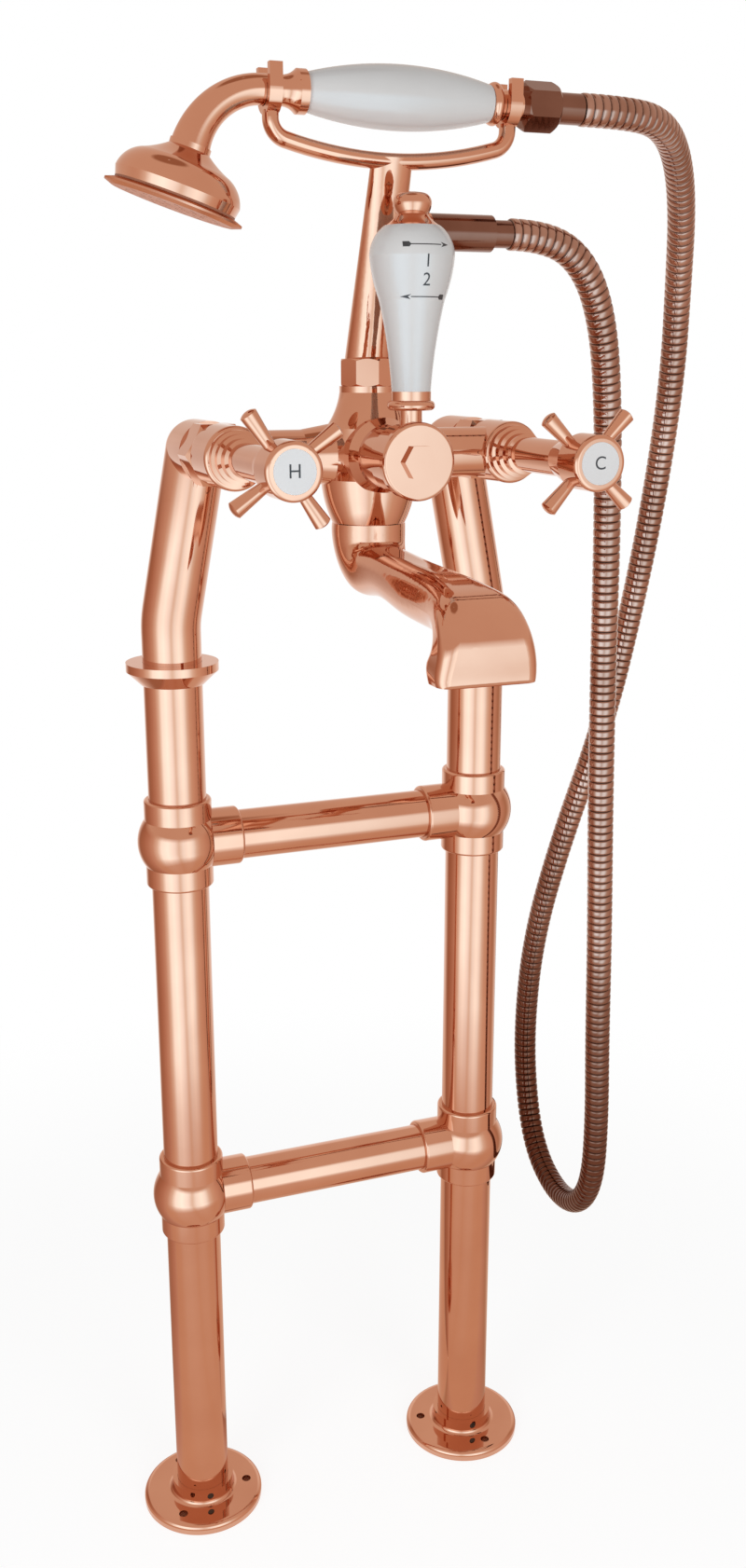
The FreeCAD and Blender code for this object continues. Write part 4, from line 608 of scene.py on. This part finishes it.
def away_from_middle(tree, place):
    """A value that rises smoothly from 0 near the object to 1 away from it."""
    away = add_node(tree, "ShaderNodeVectorMath", {0: place})
    away.operation = "LENGTH"
    start, end = FLOOR_FADE
    inputs = {"Value": away.outputs["Value"], "From Min": start, "From Max": end}
    fade = add_node(tree, "ShaderNodeMapRange", inputs)
    fade.interpolation_type = "SMOOTHSTEP"
    return fade.outputs["Result"]


def make_world():
    """A white studio that fills the shadows softly."""
    scene.world = bpy.data.worlds.new("studio")
    tree, surface = empty_tree(scene.world, "ShaderNodeOutputWorld")
    seen = add_node(tree, "ShaderNodeBackground", {"Color": WHITE})
    fill = add_node(tree, "ShaderNodeBackground", {"Color": WHITE, "Strength": WORLD_FILL})
    shader = seen_and_lit(tree, seen.outputs["Background"], fill.outputs["Background"])
    tree.links.new(shader, surface)


def make_floor():
    """A wide floor that keeps the object's soft shadow and is plain white away from it."""
    corners = [(x * FLOOR_HALF, y * FLOOR_HALF, 0) for x, y in ((-1, -1), (1, -1), (1, 1), (-1, 1))]
    floor = mesh_object("floor", corners, [(0, 1, 2, 3)], False)
    material, tree, surface = new_material("floor_white")
    matt = add_node(tree, "ShaderNodeBsdfDiffuse", {"Color": FLOOR_MATT}).outputs["BSDF"]
    lift = add_node(tree, "ShaderNodeEmission", {"Strength": FLOOR_LIFT}).outputs["Emission"]
    white = add_node(tree, "ShaderNodeEmission", {"Color": WHITE}).outputs["Emission"]
    place = object_place(tree)
    near = mix_shaders(tree, outside_feet(tree, place, FLOOR_LIFT_SHARE), matt, lift)
    seen = mix_shaders(tree, away_from_middle(tree, place), near, white)
    tree.links.new(seen_and_lit(tree, seen, matt), surface)
    material.cycles.emission_sampling = "NONE"
    floor.data.materials.append(material)


def studio_place(degrees, distance, height):
    """A place round the object, by its angle to the right of the camera."""
    ahead = Vector((CAMERA_PLACE.x, CAMERA_PLACE.y, 0)).normalized()
    right = Vector((-ahead.y, ahead.x, 0))
    angle = math.radians(degrees)
    return (ahead * math.cos(angle) + right * math.sin(angle)) * distance + Vector((0, 0, height))


def softbox(name, degrees, radiance):
    """A rectangular lamp that points at the object; in reflections the cards stand for it."""
    data = bpy.data.lights.new(name, "AREA")
    data.shape = "RECTANGLE"
    data.size = LAMP_WIDTH
    data.size_y = LAMP_HEIGHT
    data.energy = radiance * math.pi * LAMP_WIDTH * LAMP_HEIGHT
    lamp = link(bpy.data.objects.new(name, data))
    place = studio_place(degrees, LAMP_DISTANCE, LAMP_RISE)
    lamp.location = place
    lamp.rotation_euler = (LAMP_TARGET - place).to_track_quat("-Z", "Y").to_euler()
    lamp.visible_glossy = False


make_world()
make_floor()
softbox("left_softbox", degrees=-32, radiance=2.7)
softbox("right_softbox", degrees=30, radiance=2.3)


# what the metal sees round the studio, by degrees to the right of the camera: two bright boxes, dim sides
BELT = [
    (-180, (1.0, 0.95, 0.92)), (-150, (1.0, 0.93, 0.88)), (-125, (0.43, 0.22, 0.14)),
    (-103, (0.54, 0.3, 0.21)), (-86, (0.66, 0.42, 0.33)), (-70, (0.8, 0.62, 0.53)),
    (-57, (1.05, 1.1, 1.1)), (-45, (1.5, 2.1, 2.5)), (-28, (1.7, 2.4, 2.9)),
    (-10, (1.4, 1.9, 2.3)), (1, (1.1, 1.25, 1.3)), (12, (1.35, 1.85, 2.2)),
    (28, (1.6, 2.2, 2.6)), (40, (1.35, 1.85, 2.2)), (52, (1.0, 1.05, 1.05)),
    (64, (0.86, 0.72, 0.62)), (78, (0.8, 0.6, 0.5)), (94, (0.7, 0.48, 0.39)),
    (112, (0.55, 0.35, 0.24)), (132, (0.85, 0.72, 0.63)), (150, (1.0, 0.95, 0.92)),
    (180, (1.0, 0.95, 0.92)),
]
NEAR_FLOOR = (0.77, 0.55, 0.42)
SKY = (0.79, 0.64, 0.55)
CEILING = (0.42, 0.23, 0.15)
CARD_COLOURS = "card_colour"
CARD_STEP = 3
CARD_RADIUS = 1.2
CARD_FOOT = 0.003
CARD_TOP = 1.9
# where the belt doesn't show, the cards have the floor's colour below this height and the sky's above it
SKY_START = 0.5
# the cards from the floor by the object to the ceiling: radius, height, share of the belt, of the ceiling
CARD_PROFILE = [
    (0.001, CARD_FOOT, 0.0, 0.0), (0.38, CARD_FOOT, 0.09, 0.0), (0.75, CARD_FOOT, 1.0, 0.0),
    (CARD_RADIUS, CARD_FOOT, 1.0, 0.0), (CARD_RADIUS, 0.66, 1.0, 0.0), (CARD_RADIUS, 0.92, 0.0, 0.0),
    (CARD_RADIUS, CARD_TOP, 0.0, 0.0), (0.42, CARD_TOP, 0.0, 0.0), (0.3, CARD_TOP, 0.0, 1.0),
    (0.02, CARD_TOP, 0.0, 1.0),
]


def mixed(first, second, share):
    """A colour between two."""
    return tuple(a + (b - a) * share for a, b in zip(first, second))


def belt_colour(degrees):
    """The belt's colour at an angle."""
    for (low, first), (high, second) in zip(BELT, BELT[1:]):
        if degrees <= high:
            return mixed(first, second, (degrees - low) / (high - low))


def card_glow():
    """A glow in the cards' own colours, clear under each floor flange."""
    material, tree, surface = new_material("reflection_cards")
    colours = tree.nodes.new("ShaderNodeVertexColor")
    colours.layer_name = CARD_COLOURS
    glow = add_node(tree, "ShaderNodeEmission", {"Color": colours.outputs["Color"]})
    clear = tree.nodes.new("ShaderNodeBsdfTransparent")
    share = outside_feet(tree, object_place(tree), 1.0)
    tree.links.new(mix_shaders(tree, share, clear.outputs["BSDF"], glow.outputs["Emission"]), surface)
    material.cycles.emission_sampling = "NONE"
    return material


def reflection_cards():
    """Cards all round the studio that only reflections see."""
    angles = range(BELT[0][0], BELT[-1][0] + 1, CARD_STEP)
    points = []
    colours = []
    for degrees in angles:
        bright = belt_colour(degrees)
        dim = tuple(min(part, most) for part, most in zip(bright, NEAR_FLOOR))
        for radius, height, belt, ceiling in CARD_PROFILE:
            points.append(studio_place(degrees, radius, height))
            beyond = dim if height < SKY_START else SKY
            colours.append(mixed(mixed(beyond, bright, belt), CEILING, ceiling))
    rows = len(CARD_PROFILE)
    faces = []
    for column in range(len(angles) - 1):
        for row in range(rows - 1):
            first = column * rows + row
            faces.append((first, first + 1, first + rows + 1, first + rows))
    cards = mesh_object("reflection_cards", points, faces)
    paint = cards.data.color_attributes.new(CARD_COLOURS, "FLOAT_COLOR", "POINT")
    for corner, colour in zip(paint.data, colours):
        corner.color = (*colour, 1)
    cards.data.materials.append(card_glow())
    cards.visible_camera = False
    cards.visible_diffuse = False
    cards.visible_transmission = False
    cards.visible_volume_scatter = False
    cards.visible_shadow = False


reflection_cards()
